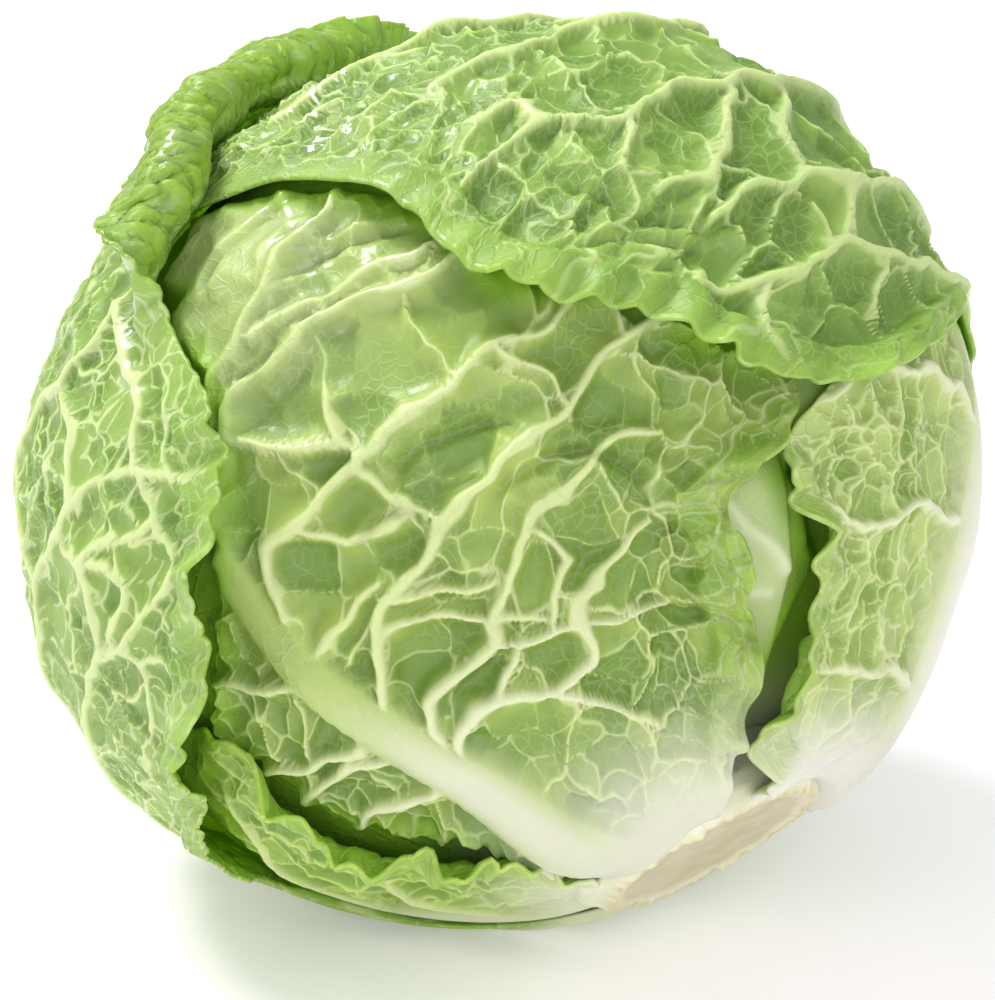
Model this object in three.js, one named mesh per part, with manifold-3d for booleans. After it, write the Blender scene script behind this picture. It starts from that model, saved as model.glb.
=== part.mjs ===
// Savoy cabbage: a loose-leaved head lying on its side with the cut stump towards the front right.
// Millimetres, +Z up, the floor at z = 0. The head is a rounded body; every leaf is a blade
// laid over it at its own level, with ribs, a raised net and a margin that turns outward.
import * as THREE from 'three'
import Module from 'manifold-3d'

// ---------- driving dimensions ----------
const DEG = Math.PI / 180
const HEAD_X = -1 // head centre, so that the whole part is centred over the origin
const HEAD_Y = -3.9
const HEAD_ACROSS = 91.5 // half the width across the stem axis
const HEAD_TO_STUMP = 86 // from the centre to the stump side
const HEAD_TO_CROWN = 78 // from the centre to the crown
const STUMP_DROP = 43.1 // degrees that the stump points below level
const STUMP_TURN = 40.3 // degrees that it turns from the front (-Y) towards +X
const FRONT_LIFT = 20 // degrees above level of the side from which headings are counted
const PLANE_RADIUS = 90 // leaf outlines are drawn on a sheet wrapped round a ball of this radius
const LEAF_THICKNESS = 2.1 // blade with its pockets, from the net to the inner face
const MARGIN_THICKNESS = 1.1
const THINNEST = 0.6 // blade left under a pocket
const POCKET_DEPTH = 1.5
const NET_HEIGHT = 1.2
const SIDE_RIB_HEIGHT = 2.5
const MARGIN_START = 0.75 // share of a leaf's reach from which it thins
const RELIEF_END = 0.9 // and from which the net fades
const NET_WANDER = 0.3 // share of a cell by which the net's corners wander
const BASE_OUT = 46 // degrees from the stem, from which a bare leaf base rises to the cut face
const BASE_IN = 21 // and where it has risen fully
const BASE_TOP = 15.5 // nearer the stem it sinks again, under the rim of the stump
const BASE_END = 11
const NET_START = 14 // degrees from the stem, where the net begins
const NET_FULL = 34 // and where it has its full height
const POCKET_EVENNESS = 0.7 // the shallowest pocket against the deepest
const RIB_CATCH = 0.5 // share of a cell within which a corner is drawn onto a rib
const RIB_PULL = 0.9 // how close it is drawn
const RIB_TAPER = 0.5 // share of a side rib's height lost by its far end
const MIDRIB_CLEAR = 1.6 // the net stops where the midrib has 1 / 1.6 of its height
const RIM_GAP = 0.3 // clearance round the stump
const FLAT_DEPTH = 0.9 // how far the lowest leaf is pressed flat on the floor
const FLAT_CALM = 18 // round the flat spot the blade is smooth to this distance
const FLAT_EDGE = 30 // and has its full net from this one
const HIDDEN_FADE = 0.12 // the relief returns this share of a leaf's reach beyond its margin
const HIDDEN_SWING = 6 * DEG // and this far to the side of it
const HEM_FADE = 0.15 // a hem turns out from this share beyond the margin over it
const ARC_SHARE = 0.6 // part of the hem that is bent; the rest of it stands straight
const RUFFLES = 19 // waves round a leaf's margin
const RUFFLE_SWING = 11 // degrees that they add to its turn, and take from it
const RUFFLE_FULL = 30 // degrees of turn from which a margin has its full ruffle
const LEAST_BEND = 1e-4 // radians, for a hem that lies flat
const CALM_POWER = 1.5 // how late the rows of a sheet take up its outline
const STUMP_FACE = 83.4 // cut face, from the head centre along the stem
const STUMP_SIDES = 32
// From the buried end to the middle of the dished face: radius, height over the cut, and how
// far the point rises for each mm of clearance when the outline cuts the stump's socket.
const STUMP_OUTLINE = [
  [0, -22, -1], [17.5, -22, -1], [23.5, -11, -1], [26.5, -6, 0], [25.3, -3.4, 1], [23.7, -2.6, 1],
  [21.9, -0.6, 1], [21.1, 0, 20], [19.5, -0.3, 20], [18, -0.9, 20], [0, -1.3, 20]
]

// Swellings of the head: polar angle from the stem, heading, height and spread.
const SWELLINGS = [
  { from: 120, heading: -65, height: 3, spread: 35 },
  { from: 48, heading: -92, height: 3.7, spread: 32 },
  { from: 100, heading: 75, height: -1.5, spread: 30 },
  { from: 0, heading: 0, height: -3, spread: 26 },
  { from: 50, heading: 141, height: -3, spread: 12.2 }
]

// Leaves from the inside out. `from` and `heading` place the middle of the sheet, `level` is the
// height of its outer face over the head. `reach` and `turn` go round the sheet clockwise in
// steps of 15 degrees from the tip: how far the margin is in mm, and how far it turns out.
// Ribs are drawn on the sheet, x to the right and y towards the tip, from the stem outward.
const LEAVES = [
  {
    name: 'leaf_front', from: 72, heading: 8, level: -7.2, cells: 32, hem: 18, raise: 8.5,
    colour: '#b9d98a',
    reach: [
      122, 112, 100, 92, 86, 80, 76, 70, 53, 58, 65, 75,
      95, 98, 97, 94, 92, 92, 92, 90, 95, 100, 112, 121
    ],
    turn: [
      0, 0, 0, 0, 0, 0, 8, 32, 38, 42, 32, 15,
      0, 0, 0, 0, 0, 0, 0, 0, 0, 0, 0, 0
    ],
    midrib: {
      width: [15, 4],
      height: 2.4,
      line: [
        [-3, -98], [-10, -78], [-24, -54], [-34, -35], [-40, -10],
        [-41, 8], [-33, 33], [-7, 56], [13, 66], [30, 92]
      ]
    },
    ribs: [
      [[-37, 24], [-22, 37], [5, 41], [31, 36]],
      [[-39, 2], [-19, 13], [8, 17], [42, 19]],
      [[-33, -30], [-19, -12], [3, -2], [31, 3], [54, 9]],
      [[-24, -40], [-6, -27], [9, -13], [35, -8]],
      [[-18, -50], [-3, -43], [14, -28], [36, -24]],
      [[-14, -62], [6, -58], [24, -50]],
      [[-39, -14], [-67, -5]],
      [[-34, -33], [-53, -31], [-75, -32]],
      [[-28, -46], [-53, -47], [-66, -52]],
      [[-41, 12], [-52, 40], [-40, 80]],
      [[-38, 26], [-30, 56], [-12, 90]]
    ]
  },
  {
    name: 'leaf_bottom', from: 52, heading: 108, level: -4.4, cells: 18, hem: 18, raise: 2,
    colour: '#a9cf73',
    reach: [
      75, 75, 75, 72, 70, 71, 74, 62, 58, 64, 63, 65,
      65, 66, 68, 70, 72, 72, 74, 75, 75, 75, 75, 75
    ],
    turn: [
      0, 0, 0, 0, 8, 26, 38, 40, 38, 30, 20, 8,
      0, 0, 0, 0, 0, 0, 0, 0, 0, 0, 0, 0
    ],
    midrib: {
      width: [14, 5],
      height: 1.6,
      line: [[0, -70], [2, -40], [0, 0], [0, 50]]
    },
    ribs: [[[2, -40], [24, -26], [44, -20]], [[2, -14], [30, 2], [60, 6]], [[0, 10], [30, 36], [50, 44]]]
  },
  {
    name: 'leaf_right', from: 62, heading: -85, level: -4.5, cells: 20, hem: 16, raise: 6,
    colour: '#b4d57f',
    reach: [
      72, 74, 76, 78, 80, 82, 84, 84, 82, 80, 80, 80,
      80, 84, 84, 74, 69, 70, 57, 62, 70, 74, 74, 72
    ],
    turn: [
      0, 0, 0, 0, 0, 0, 0, 0, 0, 0, 0, 0,
      0, 12, 30, 34, 38, 34, 38, 22, 0, 0, 0, 0
    ],
    midrib: {
      width: [17, 6],
      height: 1.8,
      line: [[2, -84], [0, -50], [4, -20], [6, 20], [6, 60]]
    },
    ribs: [
      [[2, -44], [-20, -44], [-42, -54]], [[4, -20], [-22, -16], [-52, -22]],
      [[5, 0], [-20, 8], [-46, 4]], [[6, 22], [-18, 34], [-48, 36]]
    ]
  },
  {
    name: 'leaf_top', from: 112, heading: -100, level: -1.7, cells: 30, hem: 18, raise: 1,
    colour: '#a6cd6c',
    reach: [
      128, 126, 126, 124, 122, 120, 124, 130, 134, 140, 152, 152,
      70, 62, 62, 90, 121, 129, 145, 141, 146, 158, 155, 142
    ],
    turn: [
      0, 0, 0, 0, 10, 15, 15, 15, 10, 0, 0, 0,
      0, 2, 5, 20, 26, 22, 28, 20, 8, 0, 0, 0
    ],
    midrib: {
      width: [12, 4],
      height: 2,
      line: [[32, -150], [26, -100], [12, -50], [2, 0], [0, 50], [0, 100]]
    },
    ribs: [
      [[12, -56], [-20, -54], [-63, -48], [-90, -41], [-114, -33]],
      [[8, -36], [-24, -36], [-59, -32], [-95, -21], [-113, -20]],
      [[4, -14], [-40, -10], [-81, 5], [-109, 16], [-130, 24]],
      [[2, 8], [-30, 22], [-64, 32], [-101, 42], [-118, 62]],
      [[0, 30], [-36, 48], [-70, 68], [-96, 92]], [[0, 56], [-30, 78], [-50, 106]],
      [[14, -60], [50, -44], [100, -30]], [[6, -26], [44, -4], [96, 8]],
      [[2, 8], [40, 34], [84, 50]], [[0, 40], [30, 66], [54, 88]]
    ]
  },
  {
    name: 'leaf_left', from: 105, heading: 105, level: 1.1, cells: 28, crowd: 1.3, raise: 0,
    hem: [
      14, 15, 16, 17, 17, 16, 18, 18, 18, 16, 14, 12,
      12, 12, 12, 14, 16, 18, 18, 18, 18, 18, 18, 16
    ],
    sink: { from: 50, heading: 125, depth: 2.2, spread: 34 }, colour: '#97c45c',
    reach: [
      150, 145, 138, 139, 140, 123, 130, 122, 108, 92, 79, 73,
      78, 164, 168, 162, 154, 148, 140, 132, 128, 132, 140, 147
    ],
    turn: [
      80, 140, 172, 176, 172, 20, 16, 28, 34, 22, 8, 0,
      0, 0, 0, 0, 10, 20, 20, 20, 20, 22, 25, 40
    ],
    midrib: {
      width: [13, 4],
      height: 2,
      line: [[-14, -146], [-30, -112], [-20, -70], [0, -30], [10, 10], [10, 60], [4, 110]]
    },
    ribs: [
      [[-16, -62], [20, -46], [60, -44]], [[-6, -40], [40, -20], [92, -22]],
      [[6, -12], [50, 2], [104, 6]], [[10, 12], [50, 30], [90, 44]], [[10, 40], [40, 66], [74, 86]],
      [[-16, -60], [-50, -40], [-84, -34]], [[0, -30], [-40, -4], [-84, 6]],
      [[10, 14], [-30, 38], [-74, 50]], [[9, 50], [-20, 80], [-48, 100]]
    ]
  }
]
const HEART = { name: 'heart', level: -9.9, around: 36, down: 20, colour: '#cfe3a9' }
const HEART_RIB = {
  from: 50, heading: -30, width: 9, height: 1.6, line: [[2, -40], [7, -18], [8, -4], [4, 14]]
}

// ---------- directions on the head ----------
const unit = (azimuth, rise) => new THREE.Vector3(
  Math.sin(azimuth * DEG) * Math.cos(rise * DEG),
  -Math.cos(azimuth * DEG) * Math.cos(rise * DEG),
  Math.sin(rise * DEG)
)
const STEM = unit(STUMP_TURN, -STUMP_DROP)
const facing = unit(0, FRONT_LIFT)
const FRONT = facing.clone().addScaledVector(STEM, -facing.dot(STEM)).normalize()
const SIDE = STEM.clone().cross(FRONT)
const DOWN = new THREE.Vector3(0, 0, -1)

const smooth = (low, high, value) => {
  const t = Math.min(1, Math.max(0, (value - low) / (high - low)))
  return t * t * (3 - 2 * t)
}
const mix = (a, b, t) => a + (b - a) * t

function headDirection (from, heading) {
  const ring = FRONT.clone().multiplyScalar(Math.cos(heading * DEG))
  ring.addScaledVector(SIDE, Math.sin(heading * DEG))
  return ring.multiplyScalar(Math.sin(from * DEG)).addScaledVector(STEM, Math.cos(from * DEG))
}

for (const swelling of SWELLINGS) swelling.middle = headDirection(swelling.from, swelling.heading)

function headRadius (direction) {
  const along = direction.dot(STEM)
  const end = along > 0 ? HEAD_TO_STUMP : HEAD_TO_CROWN
  let radius = 1 / Math.hypot(along / end, Math.sqrt(1 - along * along) / HEAD_ACROSS)
  for (const { middle, height, spread } of SWELLINGS) {
    const away = direction.angleTo(middle) / DEG
    radius += height * Math.exp(-((away / spread) ** 2))
  }
  return radius
}

// A sheet wrapped round the head: x runs to the right and y away from the stem.
function makeSheet ({ from, heading }) {
  const middle = headDirection(from, heading)
  const up = STEM.clone().addScaledVector(middle, -STEM.dot(middle)).normalize().negate()
  const right = up.clone().cross(middle)
  return { middle, up, right }
}

function onSheet (sheet, x, y) {
  const distance = Math.hypot(x, y)
  const angle = distance / PLANE_RADIUS
  const spread = distance > 1e-6 ? Math.sin(angle) / distance : 1 / PLANE_RADIUS
  const point = sheet.middle.clone().multiplyScalar(Math.cos(angle))
  return point.addScaledVector(sheet.right, x * spread).addScaledVector(sheet.up, y * spread)
}

function fromHead (sheet, direction) {
  const x = direction.dot(sheet.right)
  const y = direction.dot(sheet.up)
  const distance = PLANE_RADIUS * direction.angleTo(sheet.middle)
  const spread = distance / Math.max(Math.hypot(x, y), 1e-6)
  return [x * spread, y * spread]
}

// A list of values by the clock, joined by a smooth closed curve.
function byClock (list, angle) {
  const count = list.length
  const place = ((angle / (2 * Math.PI)) % 1 + 1) % 1 * count
  const start = Math.floor(place)
  const t = place - start
  const at = (k) => list[(start + k + count) % count]
  const slopeIn = (at(1) - at(-1)) / 2
  const slopeOut = (at(2) - at(0)) / 2
  const rise = at(1) - at(0)
  const second = 3 * rise - 2 * slopeIn - slopeOut
  const third = slopeIn + slopeOut - 2 * rise
  return at(0) + t * (slopeIn + t * (second + t * third))
}

function nearestOn (line, x, y) {
  let best = { distance: Infinity, x, y, along: 0 }
  for (let k = 0; k + 1 < line.length; k += 1) {
    const [ax, ay] = line[k]
    const [bx, by] = line[k + 1]
    const length = (bx - ax) ** 2 + (by - ay) ** 2
    const t = Math.min(1, Math.max(0, ((x - ax) * (bx - ax) + (y - ay) * (by - ay)) / length))
    const px = mix(ax, bx, t)
    const py = mix(ay, by, t)
    const distance = Math.hypot(x - px, y - py)
    if (distance < best.distance) best = { distance, x: px, y: py, along: (k + t) / (line.length - 1) }
  }
  return best
}

function seededRandom (seed) {
  let state = seed
  return () => {
    state = (state * 1664525 + 1013904223) % 4294967296
    return state / 4294967296
  }
}

// How far a direction is hidden under the leaves outside this one: 1 under a leaf, 0 clear of it.
function hiddenUnder (outer, direction, fade) {
  let hidden = 0
  for (const leaf of outer) {
    const [x, y] = fromHead(leaf.sheet, direction)
    const angle = Math.atan2(x, y)
    for (const swing of [-HIDDEN_SWING, 0, HIDDEN_SWING]) {
      const share = Math.hypot(x, y) / byClock(leaf.reach, angle + swing)
      hidden = Math.max(hidden, 1 - smooth(1, 1 + fade, share))
    }
  }
  return hidden
}

for (const leaf of LEAVES) {
  leaf.sheet = makeSheet(leaf)
  leaf.hem = [leaf.hem].flat()
  leaf.calmReach = leaf.reach.map((_, k) => {
    const { length } = leaf.reach
    const near = [-2, -1, 0, 1, 2].map((step) => leaf.reach[(k + step + length) % length])
    return near.reduce((sum, value) => sum + value) / near.length
  })
}

// A leaf keeps its level over the head, but may sink where fewer leaves lie under it.
function levelOf (leaf, direction) {
  if (!leaf.sink) return leaf.level
  const away = direction.angleTo(headDirection(leaf.sink.from, leaf.sink.heading)) / DEG
  return leaf.level - leaf.sink.depth * Math.exp(-((away / leaf.sink.spread) ** 2))
}

const REST_LEAF = LEAVES[LEAVES.length - 1]
const HEAD_Z = headRadius(DOWN) + levelOf(REST_LEAF, DOWN) - FLAT_DEPTH
const HEAD_CENTRE = new THREE.Vector3(HEAD_X, HEAD_Y, HEAD_Z)

// ---------- one leaf ----------
// A point of the blade: its place on the middle of the net, and its outward normal, with the
// last part of the sheet, the hem, bent outward in an arc.
function bladePoint (leaf, outer, angle, distance) {
  const ruffle = Math.sin(RUFFLES * angle + leaf.heading)
  const reach = byClock(leaf.reach, angle)
  const hem = byClock(leaf.hem, angle)
  const flatPart = reach - hem
  const hemStart = onSheet(leaf.sheet, flatPart * Math.sin(angle), flatPart * Math.cos(angle))
  const free = 1 - hiddenUnder(outer, hemStart, HEM_FADE)
  const turn = Math.max(0, byClock(leaf.turn, angle))
  const turned = (turn + RUFFLE_SWING * ruffle * Math.min(1, turn / RUFFLE_FULL)) * free * DEG
  const intoHem = Math.max(0, distance - flatPart)
  const arc = Math.min(intoHem, ARC_SHARE * hem)
  const bend = Math.max(turned, LEAST_BEND) / (ARC_SHARE * hem)
  const slope = bend * arc
  const sideways = Math.min(distance, flatPart) + Math.sin(slope) / bend + (intoHem - arc) * Math.cos(slope)
  const lift = (1 - Math.cos(slope)) / bend + (intoHem - arc) * Math.sin(slope)
  const direction = onSheet(leaf.sheet, sideways * Math.sin(angle), sideways * Math.cos(angle))
  const further = onSheet(leaf.sheet, (sideways + 1) * Math.sin(angle), (sideways + 1) * Math.cos(angle))
  const outward = further.sub(direction).normalize()
  const normal = direction.clone().multiplyScalar(Math.cos(slope))
  normal.addScaledVector(outward, -Math.sin(slope)).normalize()
  const place = direction.clone().multiplyScalar(headRadius(direction) + levelOf(leaf, direction) + lift)
  return { place, normal, direction }
}

// The rows of a sheet follow its outline near the margin, and a calmer outline further in.
function sheetDistance (leaf, share, angle) {
  const calm = byClock(leaf.calmReach, angle)
  return share * mix(calm, byClock(leaf.reach, angle), share ** CALM_POWER)
}

// Moves the rows of a sheet towards its margins, where the blade rolls.
const crowded = (place, power) => Math.sign(place) * (1 - (1 - Math.abs(place)) ** power)

function makeLeaf (leaf, outer) {
  const random = seededRandom(leaf.from * 7 + leaf.cells)
  const size = leaf.cells + 1
  const outerFace = []
  const innerFace = []
  for (let row = 0; row < size; row += 1) {
    for (let column = 0; column < size; column += 1) {
      const u = crowded(2 * column / leaf.cells - 1, leaf.crowd ?? 1)
      const v = crowded(2 * row / leaf.cells - 1, leaf.crowd ?? 1)
      const edge = Math.max(Math.abs(u), Math.abs(v))
      const discX = u * Math.sqrt(1 - v * v / 2)
      const discY = v * Math.sqrt(1 - u * u / 2)
      let angle = Math.atan2(discX, discY)
      let distance = sheetDistance(leaf, Math.hypot(discX, discY), angle)
      const spacing = 2 * byClock(leaf.reach, angle) / leaf.cells
      let x = distance * Math.sin(angle)
      let y = distance * Math.cos(angle)
      let ribHeight = 0
      if (edge < 1) {
        const free = 1 - smooth(RELIEF_END, 1, edge)
        x += spacing * NET_WANDER * free * (random() - 0.5)
        y += spacing * NET_WANDER * free * (random() - 0.5)
        for (const rib of leaf.ribs) {
          const near = nearestOn(rib, x, y)
          if (near.distance < RIB_CATCH * spacing) {
            x = mix(x, near.x, RIB_PULL * free)
            y = mix(y, near.y, RIB_PULL * free)
            ribHeight = SIDE_RIB_HEIGHT * (1 - RIB_TAPER * near.along)
          }
        }
        angle = Math.atan2(x, y)
        distance = Math.hypot(x, y)
      }
      const { place, normal, direction } = bladePoint(leaf, outer, angle, distance)
      const [wide, narrow] = leaf.midrib.width
      const near = nearestOn(leaf.midrib.line, x, y)
      const across = near.distance / mix(wide, narrow, near.along)
      const midribHeight = leaf.midrib.height * Math.exp(-(across ** 2))
      const sunk = (row + column) % 3 === 0 && ribHeight === 0
      const thickness = mix(LEAF_THICKNESS, MARGIN_THICKNESS, smooth(MARGIN_START, 1, edge))
      const deepest = Math.min(POCKET_DEPTH, thickness - THINNEST)
      const net = sunk ? -deepest * mix(POCKET_EVENNESS, 1, random()) : NET_HEIGHT
      const fromStem = direction.angleTo(STEM) / DEG
      const base = smooth(NET_START, NET_FULL, fromStem)
      const calm = smooth(FLAT_CALM, FLAT_EDGE, DOWN.angleTo(direction) * PLANE_RADIUS)
      const inside = 1 - smooth(RELIEF_END, 1, edge)
      const clear = 1 - hiddenUnder(outer, direction, HIDDEN_FADE)
      const bare = clear * inside * calm
      const onRib = Math.min(1, MIDRIB_CLEAR * midribHeight / leaf.midrib.height)
      const relief = bare * Math.max(midribHeight, mix(net * base, 0, onRib), ribHeight * base)
      const sunkRelief = bare * net * base * (1 - onRib)
      const height = sunk ? sunkRelief + bare * midribHeight : relief
      const raised = smooth(-BASE_OUT, -BASE_IN, -fromStem) * smooth(BASE_END, BASE_TOP, fromStem)
      place.addScaledVector(normal, leaf.raise * raised * clear ** 2)
      const top = place.clone().addScaledVector(normal, height)
      const bottom = place.clone().addScaledVector(normal, -thickness)
      const floor = -HEAD_Z
      top.z = Math.max(top.z, floor)
      bottom.z = Math.max(bottom.z, floor + MARGIN_THICKNESS)
      outerFace.push(top)
      innerFace.push(bottom)
    }
  }
  return closeBlade(outerFace, innerFace, size)
}

// Both faces carry the same triangles, and a band joins them round the margin.
function closeBlade (outerFace, innerFace, size) {
  const count = size * size
  const positions = [...outerFace, ...innerFace].flatMap((p) => [p.x, p.y, p.z])
  const triangles = []
  for (let row = 0; row + 1 < size; row += 1) {
    for (let column = 0; column + 1 < size; column += 1) {
      const a = row * size + column
      const b = a + 1
      const c = a + size + 1
      const d = a + size
      triangles.push(a, b, c, a, c, d)
      triangles.push(a + count, c + count, b + count, a + count, d + count, c + count)
    }
  }
  const rim = []
  for (let k = 0; k + 1 < size; k += 1) rim.push(k)
  for (let k = 0; k + 1 < size; k += 1) rim.push(k * size + size - 1)
  for (let k = size - 1; k > 0; k -= 1) rim.push((size - 1) * size + k)
  for (let k = size - 1; k > 0; k -= 1) rim.push(k * size)
  rim.forEach((from, k) => {
    const to = rim[(k + 1) % rim.length]
    triangles.push(from, from + count, to + count, from, to + count, to)
  })
  return { positions, triangles }
}

// ---------- the tight inner head and the stump ----------
function makeHeart () {
  const rib = { sheet: makeSheet(HEART_RIB), ...HEART_RIB }
  const positions = []
  const triangles = []
  const push = (direction) => {
    const [x, y] = fromHead(rib.sheet, direction)
    const near = nearestOn(rib.line, x, y)
    const bare = 1 - hiddenUnder(LEAVES, direction, HIDDEN_FADE)
    const height = bare * rib.height * Math.exp(-((near.distance / rib.width) ** 2))
    const place = direction.clone().multiplyScalar(headRadius(direction) + HEART.level + height)
    positions.push(place.x, place.y, place.z)
  }
  push(STEM)
  for (let ring = 1; ring < HEART.down; ring += 1) {
    for (let step = 0; step < HEART.around; step += 1) {
      push(headDirection(180 * ring / HEART.down, 360 * step / HEART.around))
    }
  }
  push(STEM.clone().negate())
  const last = positions.length / 3 - 1
  const at = (ring, step) => 1 + (ring - 1) * HEART.around + step % HEART.around
  for (let step = 0; step < HEART.around; step += 1) {
    triangles.push(0, at(1, step), at(1, step + 1))
    triangles.push(last, at(HEART.down - 1, step + 1), at(HEART.down - 1, step))
    for (let ring = 1; ring + 1 < HEART.down; ring += 1) {
      triangles.push(at(ring, step), at(ring + 1, step), at(ring + 1, step + 1))
      triangles.push(at(ring, step), at(ring + 1, step + 1), at(ring, step + 1))
    }
  }
  return { positions, triangles }
}

// The cut stem: a short trunk that widens to the cut, with a low rim of bark round a dished
// face. With a gap it is the socket that the leaves are cut by.
function makeStump (gap) {
  const profile = STUMP_OUTLINE.map(([radius, height, rise]) => [
    radius > 0 ? radius + gap : 0,
    STUMP_FACE + height + rise * gap
  ])
  const positions = [0, 0, profile[0][1], 0, 0, profile[profile.length - 1][1]]
  const triangles = []
  for (const [radius, height] of profile.slice(1, -1)) {
    for (let step = 0; step < STUMP_SIDES; step += 1) {
      const angle = 2 * Math.PI * step / STUMP_SIDES
      positions.push(radius * Math.cos(angle), radius * Math.sin(angle), height)
    }
  }
  const rings = profile.length - 2
  const at = (ring, step) => 2 + ring * STUMP_SIDES + step % STUMP_SIDES
  for (let step = 0; step < STUMP_SIDES; step += 1) {
    triangles.push(0, at(0, step + 1), at(0, step), 1, at(rings - 1, step), at(rings - 1, step + 1))
    for (let ring = 0; ring + 1 < rings; ring += 1) {
      triangles.push(at(ring, step), at(ring, step + 1), at(ring + 1, step + 1))
      triangles.push(at(ring, step), at(ring + 1, step + 1), at(ring + 1, step))
    }
  }
  const turn = new THREE.Quaternion().setFromUnitVectors(new THREE.Vector3(0, 0, 1), STEM)
  const point = new THREE.Vector3()
  for (let k = 0; k < positions.length; k += 3) {
    point.fromArray(positions, k).applyQuaternion(turn).toArray(positions, k)
  }
  return { positions, triangles }
}

// ---------- solids ----------
const wasm = await Module()
wasm.setup()

function toSolid ({ positions, triangles }) {
  return new wasm.Manifold(new wasm.Mesh({
    numProp: 3,
    vertProperties: Float32Array.from(positions),
    triVerts: Uint32Array.from(triangles)
  }))
}

const group = new THREE.Group()
group.position.copy(HEAD_CENTRE)

function addMesh (name, solid, colour, roughness) {
  const mesh = solid.getMesh()
  const geometry = new THREE.BufferGeometry()
  geometry.setAttribute('position', new THREE.BufferAttribute(mesh.vertProperties, 3))
  geometry.setIndex(new THREE.BufferAttribute(mesh.triVerts, 1))
  const material = new THREE.MeshStandardMaterial({ color: colour, roughness, metalness: 0 })
  const object = new THREE.Mesh(geometry, material)
  object.name = name
  group.add(object)
}

const socket = toSolid(makeStump(RIM_GAP))
addMesh('stump', toSolid(makeStump(0)), '#e4dcb4', 0.75)
addMesh(HEART.name, toSolid(makeHeart()).subtract(socket), HEART.colour, 0.5)
LEAVES.forEach((leaf, index) => {
  const outer = LEAVES.slice(index + 1)
  addMesh(leaf.name, toSolid(makeLeaf(leaf, outer)).subtract(socket), leaf.colour, 0.5)
})

export default group
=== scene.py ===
"""Savoy cabbage lying on a pale floor: puckered, net-veined wrapper leaves round a tight head.

The leaves are drawn on sheets wrapped round the head, in millimetres, and end up in metres.
"""
import math

import bmesh
import bpy
import numpy as np
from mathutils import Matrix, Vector
from mathutils.kdtree import KDTree


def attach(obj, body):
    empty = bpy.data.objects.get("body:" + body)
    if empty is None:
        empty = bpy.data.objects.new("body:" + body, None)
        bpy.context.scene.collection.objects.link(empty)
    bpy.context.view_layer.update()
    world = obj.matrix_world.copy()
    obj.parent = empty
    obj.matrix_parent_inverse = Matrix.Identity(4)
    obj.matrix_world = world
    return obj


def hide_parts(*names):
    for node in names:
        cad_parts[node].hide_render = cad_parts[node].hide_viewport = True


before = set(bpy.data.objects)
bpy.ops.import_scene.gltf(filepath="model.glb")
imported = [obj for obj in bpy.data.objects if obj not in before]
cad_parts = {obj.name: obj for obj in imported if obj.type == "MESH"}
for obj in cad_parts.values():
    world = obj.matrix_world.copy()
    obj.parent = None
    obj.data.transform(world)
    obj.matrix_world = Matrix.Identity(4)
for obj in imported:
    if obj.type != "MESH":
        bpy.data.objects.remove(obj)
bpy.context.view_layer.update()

# ---------- sizes, in mm and degrees ----------
# A pair called a fade is where an effect starts and where it is full, or the other way round.
MM = 0.001
DEG = math.pi / 180
TINY = 1e-6
RIPPLES = 7  # plain waves that add up to one uneven ripple

# The head: its place, its half axes, and where its stem points.
HEAD_X = -1
HEAD_Y = -3.9
HEAD_ACROSS = 91.5
HEAD_TO_STUMP = 86
HEAD_TO_CROWN = 78
STUMP_DROP = 43.1
STUMP_TURN = 40.3
FRONT_LIFT = 20
PLANE_RADIUS = 90  # radius of the ball that a sheet is wrapped round
FLAT_DEPTH = 0.9
FLAT_FADE = (18, 30)  # relief starts this far from the lowest point

# A leaf's bare and covered parts.
HIDDEN_SWING = 6 * DEG
HEM_FADE = 0.15
COVER_FULL = (-1, -8)  # up to here, past a flat and a lifted margin, the next leaf is covered,
COVER_NONE = (5, 0)  # and from here on it is bare
LIFTED_FADE = (4, 22)
ROLLED_FADE = (60, 120)
ROLL_PEEK = 12  # how much further in a rolled hem leaves the next leaf bare
CREVICE_LIGHT_NEAR = -5  # how much nearer its margin a leaf paints the green light of the crevices on the next one, against covering it
TUCK = 2.1  # how far a covered part of a leaf sinks below its own level

# Margins and hems.
BLADE_THICKNESS = 0.8
ARC_SHARE = 0.6  # part of the hem that is bent; the rest of it stands straight
LEAST_BEND = 1e-4
RUFFLES = 19
RUFFLE_SWING = 11
RUFFLE_FULL = 30
LOOSE_FADE = (3, 20)  # a margin turned outward this far is loose, with teeth and frills
LOOSE_IN_HEM = (0.2, 0.8)
TURNED_IN_HEM = (0, 0.5)
RAGGED = 0.8
RAGGED_LENGTH = 6
FRILL = (2, 12)  # size and length of the margin's waves
FINE_FRILL = (1, 6)
FRILL_IN_HEM = (0.3, 1)
FRILL_ROLLED = (110, 60)  # no frill on a hem turned further than this

# Rows of a leaf's mesh.
CALM_POWER = 1.5
CATCH = 0.5  # share of a row's spacing within which it moves onto a vein
LEAST_CORNER = 0.15  # a quad's corners may shrink to this share when its ends move onto a vein
SETTLE_ROUNDS = 5
SETTLE_SHARE = 0.6
RIM_STEADY = 0.97  # rows further out than this share of the reach stay where they are,
RIB_CLEAR = 1.8  # and so do rows this close to a rib
STEADY_TURN = 50  # and rows of a hem turned further than this

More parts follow.
